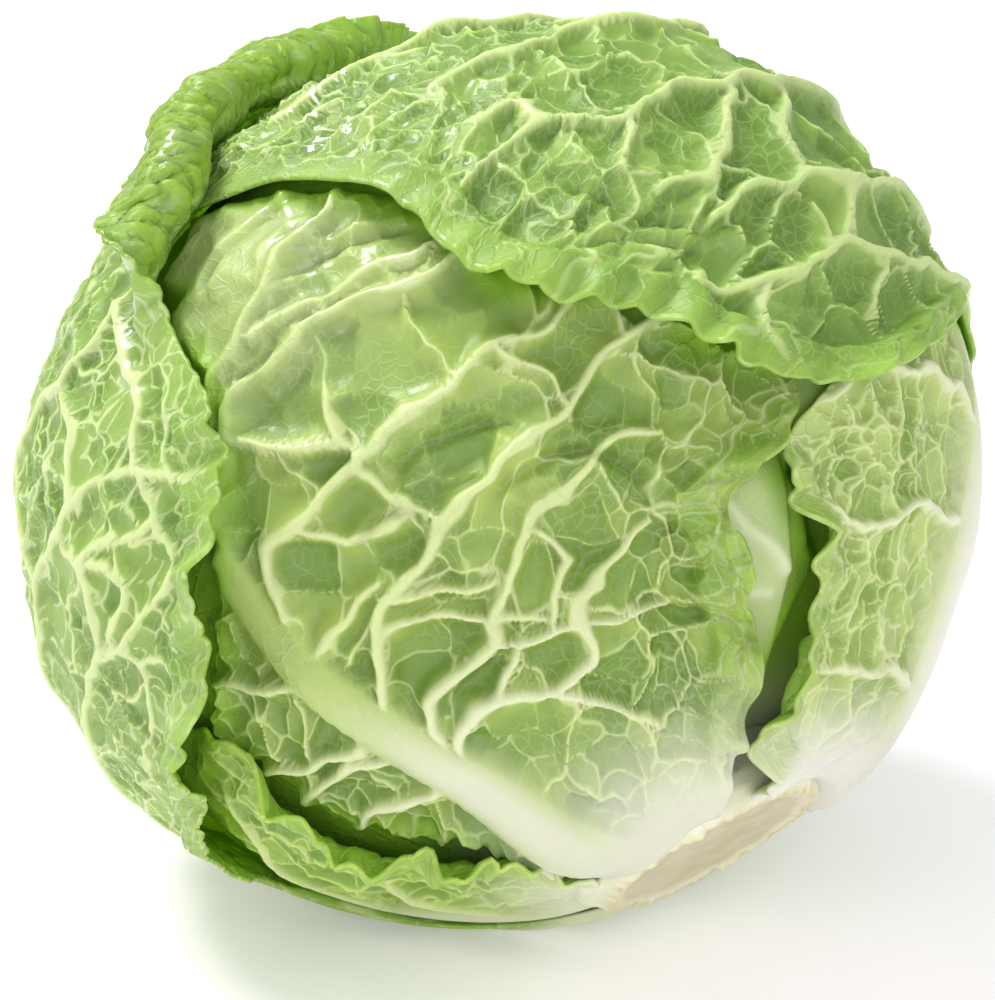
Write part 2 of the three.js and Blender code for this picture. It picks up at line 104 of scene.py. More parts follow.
# The net of veins.
COARSE = 1.55  # cells of the coarse and the fine net against a leaf's own spacing
FINE = 0.75
SEED_TRIES = 26000
SEED_MARGIN = 4
SEED_REACH = 1.06  # share of the reach that the cells fill
SEED_APART = 0.8  # least distances between cells and from a rib, against a cell's width
SEED_OFF_RIB = 0.34
SMALL_FADE = (0.25, 1)  # cells shrink from here to the margin
STEM_WIDER = 0.35  # how much wider cells are by the stem, and how near it
STEM_FADE = (70, 25)
WANDERS = ((1.8, 17), (0.5, 6))  # how far the veins wind, and over what length
ON_VEIN = 0.05
NET_FADE = (14, 34)  # angle from the stem at which the net begins
NET_EDGE = (4, 24)  # and how far, and over what length, that edge waves

# Pockets between the veins; on a rolled hem they are bubbles.
POCKET_DEEP = (0.23, 0.24)  # depth against the width of a coarse and of a fine cell
BUBBLE_HIGH = (0.1, 0.4)
BUBBLE_FADE = (70, 120)
BOWL = 0.42
SHALLOWEST = 0.3
DEEPEST = 3.7
EDGE_SHALLOW = 0.35  # depth of the pockets by a flat margin, against those further in
EDGE_FADE = (2, 12)
EDGE_TURNED = (4, 20)
OUTWARD_HIGH = 0.8  # on a loose hem the pockets stand outward, this high against their depth
OUTWARD_LOOSE = (0.15, 0.6)
OUTWARD_TURNED = (100, 60)
RIM_FADE = (1, 0.94)  # the relief fades towards the rim
MIDRIB_NO_NET = (0.35, 0.9)
MIDRIB_NO_RIB = (0.15, 0.75)

# Ribs, folds and the leaf's own shape.
RIB_SECTION = ((0.55, 1), (0.45, 2.4))  # height and width of the two bells that make a rib
RIB_TAPER = 0.7
RIB_END = 0.86  # share of a rib's length past which it narrows to its end
RIB_TIP = 0.45
RIB_HOLD = 0.6
RIB_WANDER = 0.7
LEAST_RIB = 0.9  # a rib's least width against a row's spacing
CREST = 0.7  # share of a rib, across, that is pale
MIDRIB_POWER = 3
TWIG_SIZE = 0.5
FOLD_DEEP = 2.4
FOLD_WIDE = 1.2
FOLD_BANK = 0.9  # height of the soft bank beside a fold
FOLD_BANK_WIDE = 2.6
FOLD_TAPER = 6
BASE_RISE = (46, 21)  # the leaf bases rise to the cut face between these angles from the stem
BASE_FALL = (13, 17)
SWELL = (0.8, 34)
MARGIN_FADE = (14, 0)

# The heart: the place where it lies bare, and the leaf's edge and ribs seen there.
HEART_ROWS = (256, 160)
HEART_LEVEL = -9.9
HEART_TUCK = 2.5
HEART_RISE = 2.2  # how far the bare part of the heart stands above its own level
HEART_STEP = 1.6
HEART_STEP_FADE = (0.5, -0.5)
HEART_WAVE = (0.5, 20)
HEART_WINDOW = (50, -30)
HEART_CROWD = 1.6
HEART_FURTHER = 3.5
# Where the painted shade on the heart's bare window starts and where it is full, towards the stem.
HEART_SHADE_FADE = (10, -30)
HEART_EDGE = [(-1, -30), (1, -21), (3, -13), (5, -5), (6, 2), (7, 10)]
HEART_EDGE_ENDS = (6, 9)  # how far past its first and last point the edge fades
HEART_RIBS = [
    ([(-8, 14), (-3, 6), (2, 1), (4, -4)], 0.8, 1.6),
    ([(-12, -2), (-6, -6), (0, -8)], 0.5, 1.4),
]
OFF_VEIN = 4

# The stump: radius and height of its section, from inside the head to the middle of its face.
STUMP_ROWS = (192, 96)
STUMP_FACE = 83.4
STUMP_OUTLINE = [
    (0, -22), (17.5, -22), (23.5, -11), (26.5, -6), (25.3, -3.4), (23.7, -2.6),
    (21.9, -0.6), (21.1, 0), (19.5, -0.3), (18, -0.9), (0, -1.3),
]
RIM_RADIUS = 20.5
RIM_WIDTH = 2.2
RIM_BELOW = (-8, -2)
FACE_BELOW = (-3, -1.4)
FACE_INSIDE = (20, 17)
RIM_TEETH = 0.25
RIM_FIBRES = 0.3
RIM_WAVE = 0.35
FACE_WAVE = 0.25

# Patterns that the finishes draw, as cells across 200 mm of a sheet, or across a metre.
UV_SCALE = 1 / 200
FINE_SCALE = 200 / 2.6
BEAD_SCALE = 200 / 3.8
BEAD_DEEP = 2.6
BEND_SCALE = 60
BEND = 0.014
CLOUD_SCALE = 55
SPECK_SCALE = 900
WET_SCALE = 150
CUT_CLOUD_SCALE = 160
CUT_SPECK_SCALE = 1100

# Swellings of the head: polar angle from the stem, heading, height and spread.
SWELLINGS = [
    (120, -65, 3, 35),
    (48, -92, 3.7, 32),
    (100, 75, -1.5, 30),
    (0, 0, -3, 26),
    (50, 141, -3, 12.2),
]

# Leaves from the inside out. Lines and spots are in mm on the leaf's own sheet, x to its right
# and y away from the stem. Lists of 24 values go clockwise from the tip in steps of 15 degrees.
#   polar, heading, level: the sheet's middle, and how far it is from the head's surface
#   cells, crowd: rows of its mesh, and how they crowd towards the margin
#   reach, turn, hem: how far the margin is, how many degrees it turns outward, how wide that part is
#   lobes: clock angle, width in degrees, and what is added to the reach
#   ragged, frill: size of the margin's teeth and waves, against the usual one
#   peek: how far inside its margin the next leaf still has its relief
#   spacing, pockets: width of the cells in the middle and by the margin, and their depth
#   rib, midrib: widths at their start and end, and height
#   lift, sinks: how far its base rises round the stump, and dents written like swellings
#   puffs, light, calm: round spots, by middle, radius, and rise, painted light (a paler spot), or how far
#   the coarse and the fine net are smoothed out; a puff that is wider than the leaf raises all of it
#   ribs, twigs, folds: lines
USUAL_LEAF = dict(
    hem=18, peek=2, crowd=1, ragged=1, frill=1, pockets=1, lift=0,
    lobes=[], sinks=[], puffs=[], light=[], calm=[], twigs=[], folds=[],
)
LEAVES = [
    dict(
        name="leaf_front", polar=72, heading=8, level=-7.2, cells=222, seed=3,
        ragged=0.5,
        reach=[
            122, 112, 100, 92, 86, 80, 76, 70, 53, 58, 65, 75,
            95, 98, 97, 94, 92, 92, 92, 90, 95, 100, 112, 121,
        ],
        turn=[0, 0, 0, 0, 0, 0, 8, 32, 38, 42, 32, 15, 0, 0, 0, 0, 0, 0, 0, 0, 0, 0, 0, 0],
        lobes=[(152, 6, 3), (141, 4, -2), (122, 5, -2)],
        spacing=(12, 5.5),
        pockets=1.3,
        rib=(1.6, 0.8, 1.9),
        lift=8.5,
        puffs=[(0, 0, 900, 2), (-18, 86, 38, 2.6)],
        # painted light: a paler spot at the leaf's upper left, where light falls
        light=[(-14, 62, 34, 0.42)],
        frill=1.2,
        midrib=dict(
            width=(9, 2.6), height=(2.2, 0.8),
            line=[
                (-3, -98), (-8, -88), (-15, -78), (-24, -56), (-30, -40),
                (-35, -23), (-39, -9), (-41, 5), (-41, 20),
            ],
        ),
        ribs=[
            [(-36, -3), (-34, 5), (-29, 10), (-20, 12), (2, 16), (23, 18), (41, 19), (56, 26)],
            [(-31, -28), (-28, -20), (-21, -12), (-2, -3), (8, 0), (20, 2), (43, 8), (58, 10)],
            [(-26, -42), (-23, -31), (-18, -28), (-5, -26), (-2, -20), (9, -12), (25, -6), (40, -9)],
            [(-24, -46), (-21, -35), (-13, -35), (-2, -41), (9, -38), (9, -30), (16, -24), (30, -22)],
            [(-40, 16), (-34, 26), (-26, 32), (-20, 37), (-7, 40), (13, 38), (27, 35)],
            [(-41, 20), (-30, 36), (-19, 43), (-12, 50), (3, 57), (16, 64)],
            [(-41, 20), (-39, 50), (-36, 73), (-29, 92), (-18, 100), (-7, 96)],
            [(-38, -14), (-42, -15), (-54, -8), (-64, -4), (-78, -2)],
            [(-33, -28), (-41, -33), (-52, -28), (-67, -28), (-76, -32)],
            [(-31, -36), (-42, -34), (-55, -35), (-69, -39)],
            [(-26, -48), (-40, -46), (-52, -46), (-63, -52)],
        ],
        twigs=[
            [(-2, -41), (5, -49), (12, -58)],
            [(-15, 44), (3, 43), (13, 43), (24, 41)],
            [(-36, -11), (-27, -8), (-16, -6)],
            [(-23, 11), (-19, 7), (-16, 3), (-4, 1)],
            [(-9, 14), (-7, 5), (-1, -2)],
            [(-22, -14), (-10, -16), (-3, -21), (6, -27)],
            [(-15, -11), (-8, -12), (0, -16)],
            [(-5, -26), (2, -30), (9, -30), (20, -36), (26, -38)],
            [(-13, -36), (-2, -28)],
            [(-28, 30), (-18, 23), (-9, 19), (-8, 15)],
            [(-9, 19), (-6, 28)],
            [(12, -13), (14, -20), (6, -29)],
            [(23, 18), (28, 10), (27, 2)],
            [(41, 19), (44, 12), (43, 8)],
        ],
        folds=[
            [(-21, 59), (-16, 64), (-6, 67), (4, 68)],
            [(-7, 51), (3, 52), (13, 50), (22, 48)],
            [(-4, 9), (0, 11), (8, 10), (16, 8), (19, 3)],
            [(9, -3), (15, -2), (24, -3), (30, -8), (33, -14), (31, -20)],
            [(-17, 1), (-12, 4), (-6, 3), (-2, 0)],
        ],
        calm=[(-20, 68, 33, 0.8, 0.92), (26, 24, 26, 0.1, 0.7)],
    ),
    dict(
        name="leaf_bottom", polar=52, heading=108, level=-4.4, cells=130, seed=5,
        reach=[
            75, 75, 75, 72, 70, 71, 76, 67, 66, 73, 74, 70,
            67, 66, 68, 70, 72, 72, 74, 75, 75, 75, 75, 75,
        ],
        turn=[0, 0, 0, 0, 8, 24, 32, 33, 31, 26, 18, 8, 0, 0, 0, 0, 0, 0, 0, 0, 0, 0, 0, 0],
        spacing=(9, 5.5),
        rib=(1.6, 0.8, 1.4),
        lift=2,
        frill=1.15,
        midrib=dict(width=(7, 3), height=(1.6, 0.8), line=[(0, -70), (2, -40), (0, 0), (0, 50)]),
        ribs=[
            [(2, -40), (24, -26), (44, -22)],
            [(2, -14), (30, 2), (60, 6)],
            [(0, 10), (30, 36), (50, 44)],
        ],
    ),
    dict(
        name="leaf_right", polar=62, heading=-85, level=-4.5, cells=160, hem=16, seed=8,
        ragged=0.45,
        reach=[
            72, 74, 76, 78, 80, 82, 84, 84, 82, 80, 80, 80,
            80, 86, 87, 75, 69, 70, 57, 62, 70, 74, 74, 72,
        ],
        turn=[0, 0, 0, 0, 0, 0, 0, 0, 0, 0, 0, 0, 0, 12, 30, 34, 38, 34, 38, 22, 0, 0, 0, 0],
        lobes=[(256, 6, 2.5), (232, 5, -4), (214, 6, 2)],
        spacing=(8, 5),
        rib=(1.5, 0.7, 1.3),
        lift=6,
        frill=1.2,
        midrib=dict(
            width=(17, 15), height=(1.4, 1.2),
            line=[(14, -84), (13, -60), (12, -36), (10, -10), (16, 20), (18, 60)],
        ),
        ribs=[
            [(2, -50), (-20, -48), (-42, -56)],
            [(4, -20), (-22, -16), (-40, -26), (-56, -24)],
            [(5, 0), (-20, 8), (-46, 4), (-62, -6)],
            [(6, 22), (-18, 34), (-48, 36)],
        ],
    ),
    dict(
        name="leaf_top", polar=112, heading=-100, level=-1.7, cells=222, seed=13,
        peek=4,
        reach=[
            128, 126, 126, 124, 122, 120, 124, 130, 134, 140, 152, 152,
            70, 62, 62, 90, 121, 129, 145, 141, 146, 158, 155, 142,
        ],
        turn=[0, 0, 0, 0, 10, 15, 15, 15, 10, 0, 0, 0, 0, 2, 5, 20, 26, 22, 26, 12, 4, 0, 0, 0],
        lobes=[(250, 4, 3), (232, 4, 3)],
        spacing=(12, 7),
        pockets=1.2,
        rib=(1.7, 0.7, 1.9),
        lift=1,
        midrib=dict(
            width=(8, 2), height=(2, 1),
            line=[(32, -150), (26, -100), (12, -50), (2, 0), (0, 50), (0, 100)],
        ),
        ribs=[
            [(12, -56), (-20, -52), (-51, -50), (-67, -45), (-80, -40), (-102, -42), (-114, -33)],
            [(8, -36), (-24, -36), (-51, -30), (-68, -30), (-84, -24), (-94, -22), (-105, -23)],
            [(4, -14), (-40, -8), (-76, 0), (-83, 4), (-92, 5), (-100, 7), (-105, 12), (-109, 20),
             (-118, 22), (-130, 24)],
            [(2, 8), (-30, 20), (-59, 21), (-66, 29), (-81, 36), (-92, 38), (-99, 45), (-104, 50)],
            [(0, 30), (-36, 48), (-70, 68), (-96, 92)],
            [(0, 56), (-30, 78), (-50, 106)],
            [(14, -60), (50, -44), (100, -30)],
            [(6, -26), (44, -4), (96, 8)],
            [(2, 8), (40, 34), (84, 50)],
            [(0, 40), (30, 66), (54, 88)],
        ],
        twigs=[
            [(-109, 20), (-107, 30), (-110, 31), (-115, 33)],
            [(-100, 7), (-106, 0), (-111, -4)],
            [(-76, 0), (-76, -3), (-88, -10), (-95, -15), (-103, -15), (-110, -10)],
            [(-58, -4), (-60, -6), (-78, -17), (-80, -26)],
            [(-69, -30), (-78, -40)],
            [(-102, -42), (-106, -50), (-105, -56)],
            [(-68, -45), (-76, -57)],
        ],
        folds=[
            [(-122, 5), (-119, 1), (-116, -4), (-116, -12), (-109, -20), (-106, -24), (-96, -27)],
            [(-129, -9), (-123, -11), (-118, -16), (-113, -22), (-109, -26)],
        ],
        calm=[(-74, -28, 36, 0, 0.6)],
        frill=0.85,
        ragged=0.2,
    ),
    dict(
        name="leaf_left", polar=105, heading=105, level=1.1, cells=222, crowd=1.3, seed=21,
        hem=[
            14, 15, 16, 17, 17, 16, 18, 18, 18, 16, 14, 12,
            12, 12, 12, 14, 16, 18, 18, 18, 18, 18, 18, 16,
        ],
        sinks=[(50, 125, 2.2, 34)],
        peek=6,
        reach=[
            150, 145, 138, 139, 140, 123, 130, 122, 108, 92, 79, 73,
            78, 164, 168, 162, 154, 148, 140, 132, 128, 132, 140, 147,
        ],
        turn=[
            80, 140, 172, 176, 172, 20, 16, 28, 34, 22, 8, 0,
            0, 0, 0, 0, 10, 20, 20, 20, 20, 22, 25, 40,
        ],
        spacing=(10, 6),
        pockets=0.8,
        rib=(0.75, 0.4, 0.9),
        frill=0.6,
        midrib=dict(
            width=(9, 2.5), height=(2, 1),
            line=[(-14, -146), (-30, -112), (-20, -70), (0, -30), (10, 10), (10, 60), (4, 110)],
        ),
        ribs=[
            [(-16, -62), (10, -44), (49, -35), (64, -31), (81, -28), (85, -19), (88, -12), (81, -4)],
            [(-6, -40), (30, -26), (57, -17), (59, -11), (65, -7), (81, -4), (89, 2), (105, 0), (126, -10)],
            [(6, -12), (40, 12), (74, 27), (87, 27), (96, 31), (100, 40)],
            [(100, 40), (112, 16), (110, 1), (109, -12), (111, -22)],
            [(10, 40), (40, 66), (74, 86)],
            [(-16, -60), (-50, -40), (-84, -34)],
            [(0, -30), (-40, -4), (-84, 6)],
            [(10, 14), (-30, 38), (-74, 50)],
            [(9, 50), (-20, 80), (-48, 100)],
        ],
        twigs=[
            [(88, -12), (100, -13), (109, -12)],
            [(108, -26), (103, -29), (94, -29), (86, -30), (80, -28)],
            [(86, -30), (88, -37), (81, -43), (76, -47)],
            [(88, -37), (94, -39)],
            [(88, -13), (98, -19), (93, -23), (86, -27)],
            [(89, 2), (92, 14), (87, 27)],
            [(65, -7), (60, 6), (58, 20)],
        ],
    ),
]


# ---------- directions on the head ----------
def unit(azimuth, rise):
    across = math.cos(rise * DEG)
    return np.array([
        math.sin(azimuth * DEG) * across,
        -math.cos(azimuth * DEG) * across,
        math.sin(rise * DEG),
    ])


STEM = unit(STUMP_TURN, -STUMP_DROP)
facing = unit(0, FRONT_LIFT)
FRONT = facing - facing.dot(STEM) * STEM
FRONT /= np.linalg.norm(FRONT)
SIDE = np.cross(STEM, FRONT)
DOWN = np.array([0, 0, -1])


def smooth(low, high, value):
    t = np.clip((value - low) / (high - low), 0, 1)
    return t * t * (3 - 2 * t)


def mix(a, b, t):
    return a + (b - a) * t


def bell(away, width):
    return np.exp(-((away / width) ** 2))


def spot(x, y, middle_x, middle_y, radius):
    return np.exp(-((x - middle_x) ** 2 + (y - middle_y) ** 2) / radius**2)


def head_direction(polar, heading):
    polar = np.asarray(polar * DEG)[..., None]
    heading = np.asarray(heading * DEG)[..., None]
    ring = FRONT * np.cos(heading) + SIDE * np.sin(heading)
    return ring * np.sin(polar) + STEM * np.cos(polar)


def degrees_from(directions, middle):
    return np.arccos(np.clip(directions @ middle, -1, 1)) / DEG


def swelling(directions, polar, heading, height, spread):
    return height * bell(degrees_from(directions, head_direction(polar, heading)), spread)


def head_radius(directions):
    along = directions @ STEM
    end = np.where(along > 0, HEAD_TO_STUMP, HEAD_TO_CROWN)
    radius = 1 / np.hypot(along / end, np.sqrt(np.maximum(0, 1 - along**2)) / HEAD_ACROSS)
    for values in SWELLINGS:
        radius = radius + swelling(directions, *values)
    return radius


def make_sheet(polar, heading):
    middle = head_direction(polar, heading)
    up = middle * STEM.dot(middle) - STEM
    up /= np.linalg.norm(up)
    return middle, up, np.cross(up, middle)


def on_sheet(sheet, x, y):
    middle, up, right = sheet
    distance = np.hypot(x, y)
    angle = distance / PLANE_RADIUS
    spread = np.sin(angle) / np.maximum(distance, TINY)
    flat = (x * spread)[..., None] * right + (y * spread)[..., None] * up
    return np.cos(angle)[..., None] * middle + flat


def from_head(sheet, directions):
    middle, up, right = sheet
    x = directions @ right
    y = directions @ up
    spread = PLANE_RADIUS * degrees_from(directions, middle) * DEG / np.maximum(np.hypot(x, y), TINY)
    return x * spread, y * spread


def by_clock(values, angle):
    """Values in equal steps round the clock, joined by a smooth closed curve."""
    values = np.atleast_1d(np.asarray(values, float))
    place = (angle / (2 * math.pi)) % 1 * len(values)
    start = np.floor(place).astype(int)
    t = place - start
    before, here, after, later = (values[(start + k) % len(values)] for k in (-1, 0, 1, 2))
    slope_in = (after - before) / 2
    slope_out = (later - here) / 2
    rise = after - here
    second = 3 * rise - 2 * slope_in - slope_out
    third = slope_in + slope_out - 2 * rise
    return here + t * (slope_in + t * (second + t * third))


def ripple(x, y, size, length, seed):
    """A smooth field between about -size and size with features of that length."""
    random = np.random.default_rng(seed)
    total = 0
    for _ in range(RIPPLES):
        turn, phase = random.uniform(0, 2 * math.pi, 2)
        pace = 2 * math.pi / length / random.uniform(0.7, 1.5)
        total = total + np.sin(pace * (x * math.cos(turn) + y * math.sin(turn)) + phase)
    return size * (total / math.sqrt(RIPPLES) / 1.2)


def near_line(line, x, y):
    """How far each point is from a line drawn through these points, and how far along it."""
    line = np.asarray(line, float)
    if len(line) > 3:
        line = rounded(line)
    best = np.full(x.shape, np.inf)
    along = np.zeros(x.shape)
    for k, (start, end) in enumerate(zip(line[:-1], line[1:])):
        step = end - start
        t = np.clip(((x - start[0]) * step[0] + (y - start[1]) * step[1]) / step.dot(step), 0, 1)
        distance = np.hypot(x - start[0] - t * step[0], y - start[1] - t * step[1])
        closer = distance < best
        best = np.where(closer, distance, best)
        along = np.where(closer, (k + t) / (len(line) - 1), along)
    return best, along


def rounded(line):
    """Cuts each corner of a line twice, which leaves a smooth curve."""
    for _ in range(2):
        quarter = mix(line[:-1], line[1:], 0.25)
        three = mix(line[:-1], line[1:], 0.75)
        middle = np.stack([quarter, three], axis=1).reshape(-1, 2)
        line = np.vstack([line[:1], middle, line[-1:]])
    return line


def reach_of(leaf, angle):
    reach = by_clock(leaf["reach"], angle)
    for clock, width, amount in leaf["lobes"]:
        away = (angle / DEG - clock + 180) % 360 - 180
        reach = reach + amount * bell(away, width)
    size = leaf["ragged"] * RAGGED
    teeth = ripple(reach * np.sin(angle), reach * np.cos(angle), size, RAGGED_LENGTH, leaf["seed"] + 9)
    return reach + teeth * smooth(*LOOSE_FADE, by_clock(leaf["turn"], angle))


def level_of(leaf, directions):
    level = np.full(len(directions), float(leaf["level"]))
    for values in leaf["sinks"]:
        level -= swelling(directions, *values)
    return level


def covered(outer, directions, further=0):
    """1 where a leaf outside this one lies over the point, 0 where it is bare."""
    cover = np.zeros(len(directions))
    for leaf in outer:
        x, y = from_head(leaf["sheet"], directions)
        angle = np.arctan2(x, y)
        beyond = np.hypot(x, y) - reach_of(leaf, angle)
        turn = by_clock(leaf["turn"], angle)
        lifted = smooth(*LIFTED_FADE, turn)
        shown = further + leaf["peek"] + ROLL_PEEK * smooth(*ROLLED_FADE, turn)
        full = mix(*COVER_FULL, lifted) - shown
        none = mix(*COVER_NONE, lifted) - shown
        cover = np.maximum(cover, 1 - smooth(full, none, beyond))
    return cover


for index, leaf in enumerate(LEAVES):
    LEAVES[index] = {**USUAL_LEAF, **leaf, "sheet": make_sheet(leaf["polar"], leaf["heading"])}
rest = LEAVES[-1]
HEAD_Z = float(head_radius(DOWN[None])[0] + level_of(rest, DOWN[None])[0] - FLAT_DEPTH)
HEAD_CENTRE = np.array([HEAD_X, HEAD_Y, HEAD_Z])


# ---------- the net of veins ----------
def net_seeds(leaf, scale):
    """Cell middles scattered over the sheet: wide cells by the stem, small ones by the margin."""
    random = np.random.default_rng(leaf["seed"])
    most = max(leaf["reach"]) + SEED_MARGIN
    stem_y = -PLANE_RADIUS * leaf["polar"] * DEG
    lines = [leaf["midrib"]["line"], *leaf["ribs"], *leaf["twigs"]]
    tries = random.uniform(-most, most, (SEED_TRIES, 2))
    x, y = tries.T
    share = np.hypot(x, y) / reach_of(leaf, np.arctan2(x, y))
    apart = scale * mix(*leaf["spacing"], smooth(*SMALL_FADE, share))
    apart *= 1 + STEM_WIDER * smooth(*STEM_FADE, np.hypot(x, y - stem_y))
    clear = np.min([near_line(line, x, y)[0] for line in lines], axis=0) > SEED_OFF_RIB * apart
    fits = (share < SEED_REACH) & clear
    kept = np.empty((len(tries), 3))
    count = 0
    for place, gap in zip(tries[fits], apart[fits]):
        near = kept[:count]
        away = np.hypot(*(near[:, :2] - place).T) / np.minimum(near[:, 2], gap)
        if count == 0 or np.min(away) > SEED_APART:
            kept[count] = (*place, gap)
            count += 1
    return kept[:count]


def net_of(seeds, x, y):
    """For each point: the step to the nearest border between cells, its length, and the cell."""
    tree = KDTree(len(seeds))
    for index, (seed_x, seed_y, _) in enumerate(seeds):
        tree.insert((seed_x, seed_y, 0), index)
    tree.balance()
    found = np.array([
        [index for _, index, _ in tree.find_n((px, py, 0), 4)] for px, py in zip(x, y)
    ])
    points = np.stack([x, y], axis=1)
    own = seeds[found[:, 0], :2]
    border = np.full(len(x), np.inf)
    step = np.zeros((len(x), 2))
    for k in (1, 2, 3):
        other = seeds[found[:, k], :2]
        across = other - own
        across /= np.linalg.norm(across, axis=1)[:, None]
        gap = np.sum(((own + other) / 2 - points) * across, axis=1)
        closer = gap < border
        border = np.where(closer, gap, border)
        step = np.where(closer[:, None], across * gap[:, None], step)
    return step, np.maximum(border, 0), found[:, 0]


def wandered(leaf, x, y, share=1):
    """Where a point is looked up in the net, so that its veins wind a little."""
    moves = []
    for seed in (leaf["seed"] + 5, leaf["seed"] + 7):
        moves.append(share * sum(ripple(x, y, *wave, seed + k) for k, wave in enumerate(WANDERS)))
    return x + moves[0], y + moves[1]


# ---------- one leaf: its mesh and its rim ----------
def hidden_under(outer, directions):
    """1 under a leaf outside this one, 0 well clear of it."""
    hidden = np.zeros(len(directions))
    for leaf in outer:
        x, y = from_head(leaf["sheet"], directions)
        angle = np.arctan2(x, y)
        for swing in (-HIDDEN_SWING, 0, HIDDEN_SWING):
            share = np.hypot(x, y) / by_clock(leaf["reach"], angle + swing)
            hidden = np.maximum(hidden, 1 - smooth(1, 1 + HEM_FADE, share))
    return hidden


def blade_points(leaf, outer, angle, distance):
    """The leaf's middle, with the last part of it, the hem, bent outward in an arc and frilled."""
    sheet = leaf["sheet"]
    reach = reach_of(leaf, angle)
    hem = by_clock(leaf["hem"], angle)
    flat_part = reach - hem
    sine = np.sin(angle)
    cosine = np.cos(angle)
    free = 1 - hidden_under(outer, on_sheet(sheet, flat_part * sine, flat_part * cosine))
    turn = np.maximum(0, by_clock(leaf["turn"], angle))
    ruffle = np.sin(RUFFLES * angle + leaf["heading"]) * np.minimum(1, turn / RUFFLE_FULL)
    turned = (turn + RUFFLE_SWING * ruffle) * free * DEG
    into_hem = np.maximum(0, distance - flat_part)
    arc = np.minimum(into_hem, ARC_SHARE * hem)
    bend = np.maximum(turned, LEAST_BEND) / (ARC_SHARE * hem)
    slope = bend * arc
    straight = into_hem - arc
    sideways = np.minimum(distance, flat_part) + np.sin(slope) / bend + straight * np.cos(slope)
    lift = (1 - np.cos(slope)) / bend + straight * np.sin(slope)
    direction = on_sheet(sheet, sideways * sine, sideways * cosine)
    outward = on_sheet(sheet, (sideways + 1) * sine, (sideways + 1) * cosine) - direction
    outward /= np.linalg.norm(outward, axis=1)[:, None]
    normal = direction * np.cos(slope)[:, None] - outward * np.sin(slope)[:, None]
    radius = head_radius(direction) + level_of(leaf, direction) + lift
    place = direction * radius[:, None]
    loose = smooth(*LOOSE_FADE, turn) * free
    share = into_hem / hem
    rim = (reach * sine, reach * cosine)
    frill = ripple(*rim, *FRILL, leaf["seed"]) + leaf["ragged"] * ripple(*rim, *FINE_FRILL, leaf["seed"] + 1)
    frill = frill * leaf["frill"] * loose * smooth(*FRILL_IN_HEM, share)
    frill = frill * smooth(*FRILL_ROLLED, turned / DEG)
    place += normal * frill[:, None]
    loose = loose * smooth(*LOOSE_IN_HEM, share)
    return place, normal, direction, loose, turned / DEG * smooth(*TURNED_IN_HEM, share)


def leaf_grid(cells, crowd):
    """A square grid of that many rows, with each vertex's clock angle and share of the reach."""
    mesh = bmesh.new()
    bmesh.ops.create_grid(mesh, x_segments=cells, y_segments=cells, size=1)
    flat = np.array([vertex.co[:2] for vertex in mesh.verts])
    u, v = (np.sign(flat) * (1 - (1 - np.minimum(1, np.abs(flat))) ** crowd)).T
    disc_x = u * np.sqrt(1 - v**2 / 2)
    disc_y = v * np.sqrt(1 - u**2 / 2)
    return mesh, np.arctan2(disc_x, disc_y), np.hypot(disc_x, disc_y)


def corner_areas(corners, points):
    """The area between the two sides that meet at each corner of each quad."""
    areas = []
    for k in range(4):
        before, here, after = (points[corners[:, (k + j) % 4]] for j in (-1, 0, 1))
        first = after - here
        second = before - here
        areas.append(first[:, 0] * second[:, 1] - first[:, 1] * second[:, 0])
    return np.stack(areas)


def settle(points, moved):
    """Shortens the moves that would flatten or fold the quads of a square grid of points."""
    side = round(math.sqrt(len(points)))
    index = np.arange(len(points)).reshape(side, side)
    ring = (index[:-1, :-1], index[1:, :-1], index[1:, 1:], index[:-1, 1:])
    corners = np.stack([part.ravel() for part in ring], axis=1)
    at_rest = corner_areas(corners, points)
    at_rest = np.where(np.abs(at_rest) < 1e-9, 1, at_rest)
    for _ in range(SETTLE_ROUNDS):
        share = corner_areas(corners, points + moved) / at_rest
        poor = np.min(share, axis=0) < LEAST_CORNER
        moved[np.unique(corners[poor])] *= SETTLE_SHARE


def onto_veins(leaf, nets, free, catch, x, y):
    """Moves the free rows that are near a vein onto it, so that the veins are crisp."""
    moved = np.zeros((len(x), 2))
    for seeds in nets[::-1]:
        step, border, _ = net_of(seeds, *wandered(leaf, x, y))
        caught = free & (border < catch)
        moved[caught] = step[caught]
    settle(np.stack([x, y], axis=1), moved)
    return x + moved[:, 0], y + moved[:, 1]


def cells_at(leaf, nets, x, y):
    """For each net: how far the points are from a vein, how wide their cell is, and its chance."""
    found = []
    for seeds in nets:
        _, border, cell = net_of(seeds, *wandered(leaf, x, y))
        chance = np.random.default_rng(leaf["seed"]).uniform(0, 1, len(seeds))
        found.append((border, seeds[cell, 2], chance[cell]))
    return zip(*found)


def join_veins(mesh, on_vein):
    """Splits each quad that a vein crosses from corner to corner along that vein."""
    for face in list(mesh.faces):
        a, b, c, d = face.verts
        first = on_vein[a.index] and on_vein[c.index]
        second = on_vein[b.index] and on_vein[d.index]
        if first != second:
            bmesh.utils.face_split(face, *((a, c) if first else (b, d)))


def lay_uv(mesh, x, y):
    """A vertex's place in its texture is its place on the sheet."""
    layer = mesh.loops.layers.uv.new("Sheet")
    for face in mesh.faces:
        for loop in face.loops:
            k = loop.vert.index
            loop[layer].uv = (x[k] * UV_SCALE + 0.5, y[k] * UV_SCALE + 0.5)


def set_places(mesh, place):
    """Moves the vertices to these places, given in mm from the middle of the head."""
    for vertex, point in zip(mesh.verts, (place + HEAD_CENTRE) * MM):
        vertex.co = point


def linked(name, data):
    """An object of that data, in the scene."""
    thing = bpy.data.objects.new(name, data)
    bpy.context.collection.objects.link(thing)
    return thing


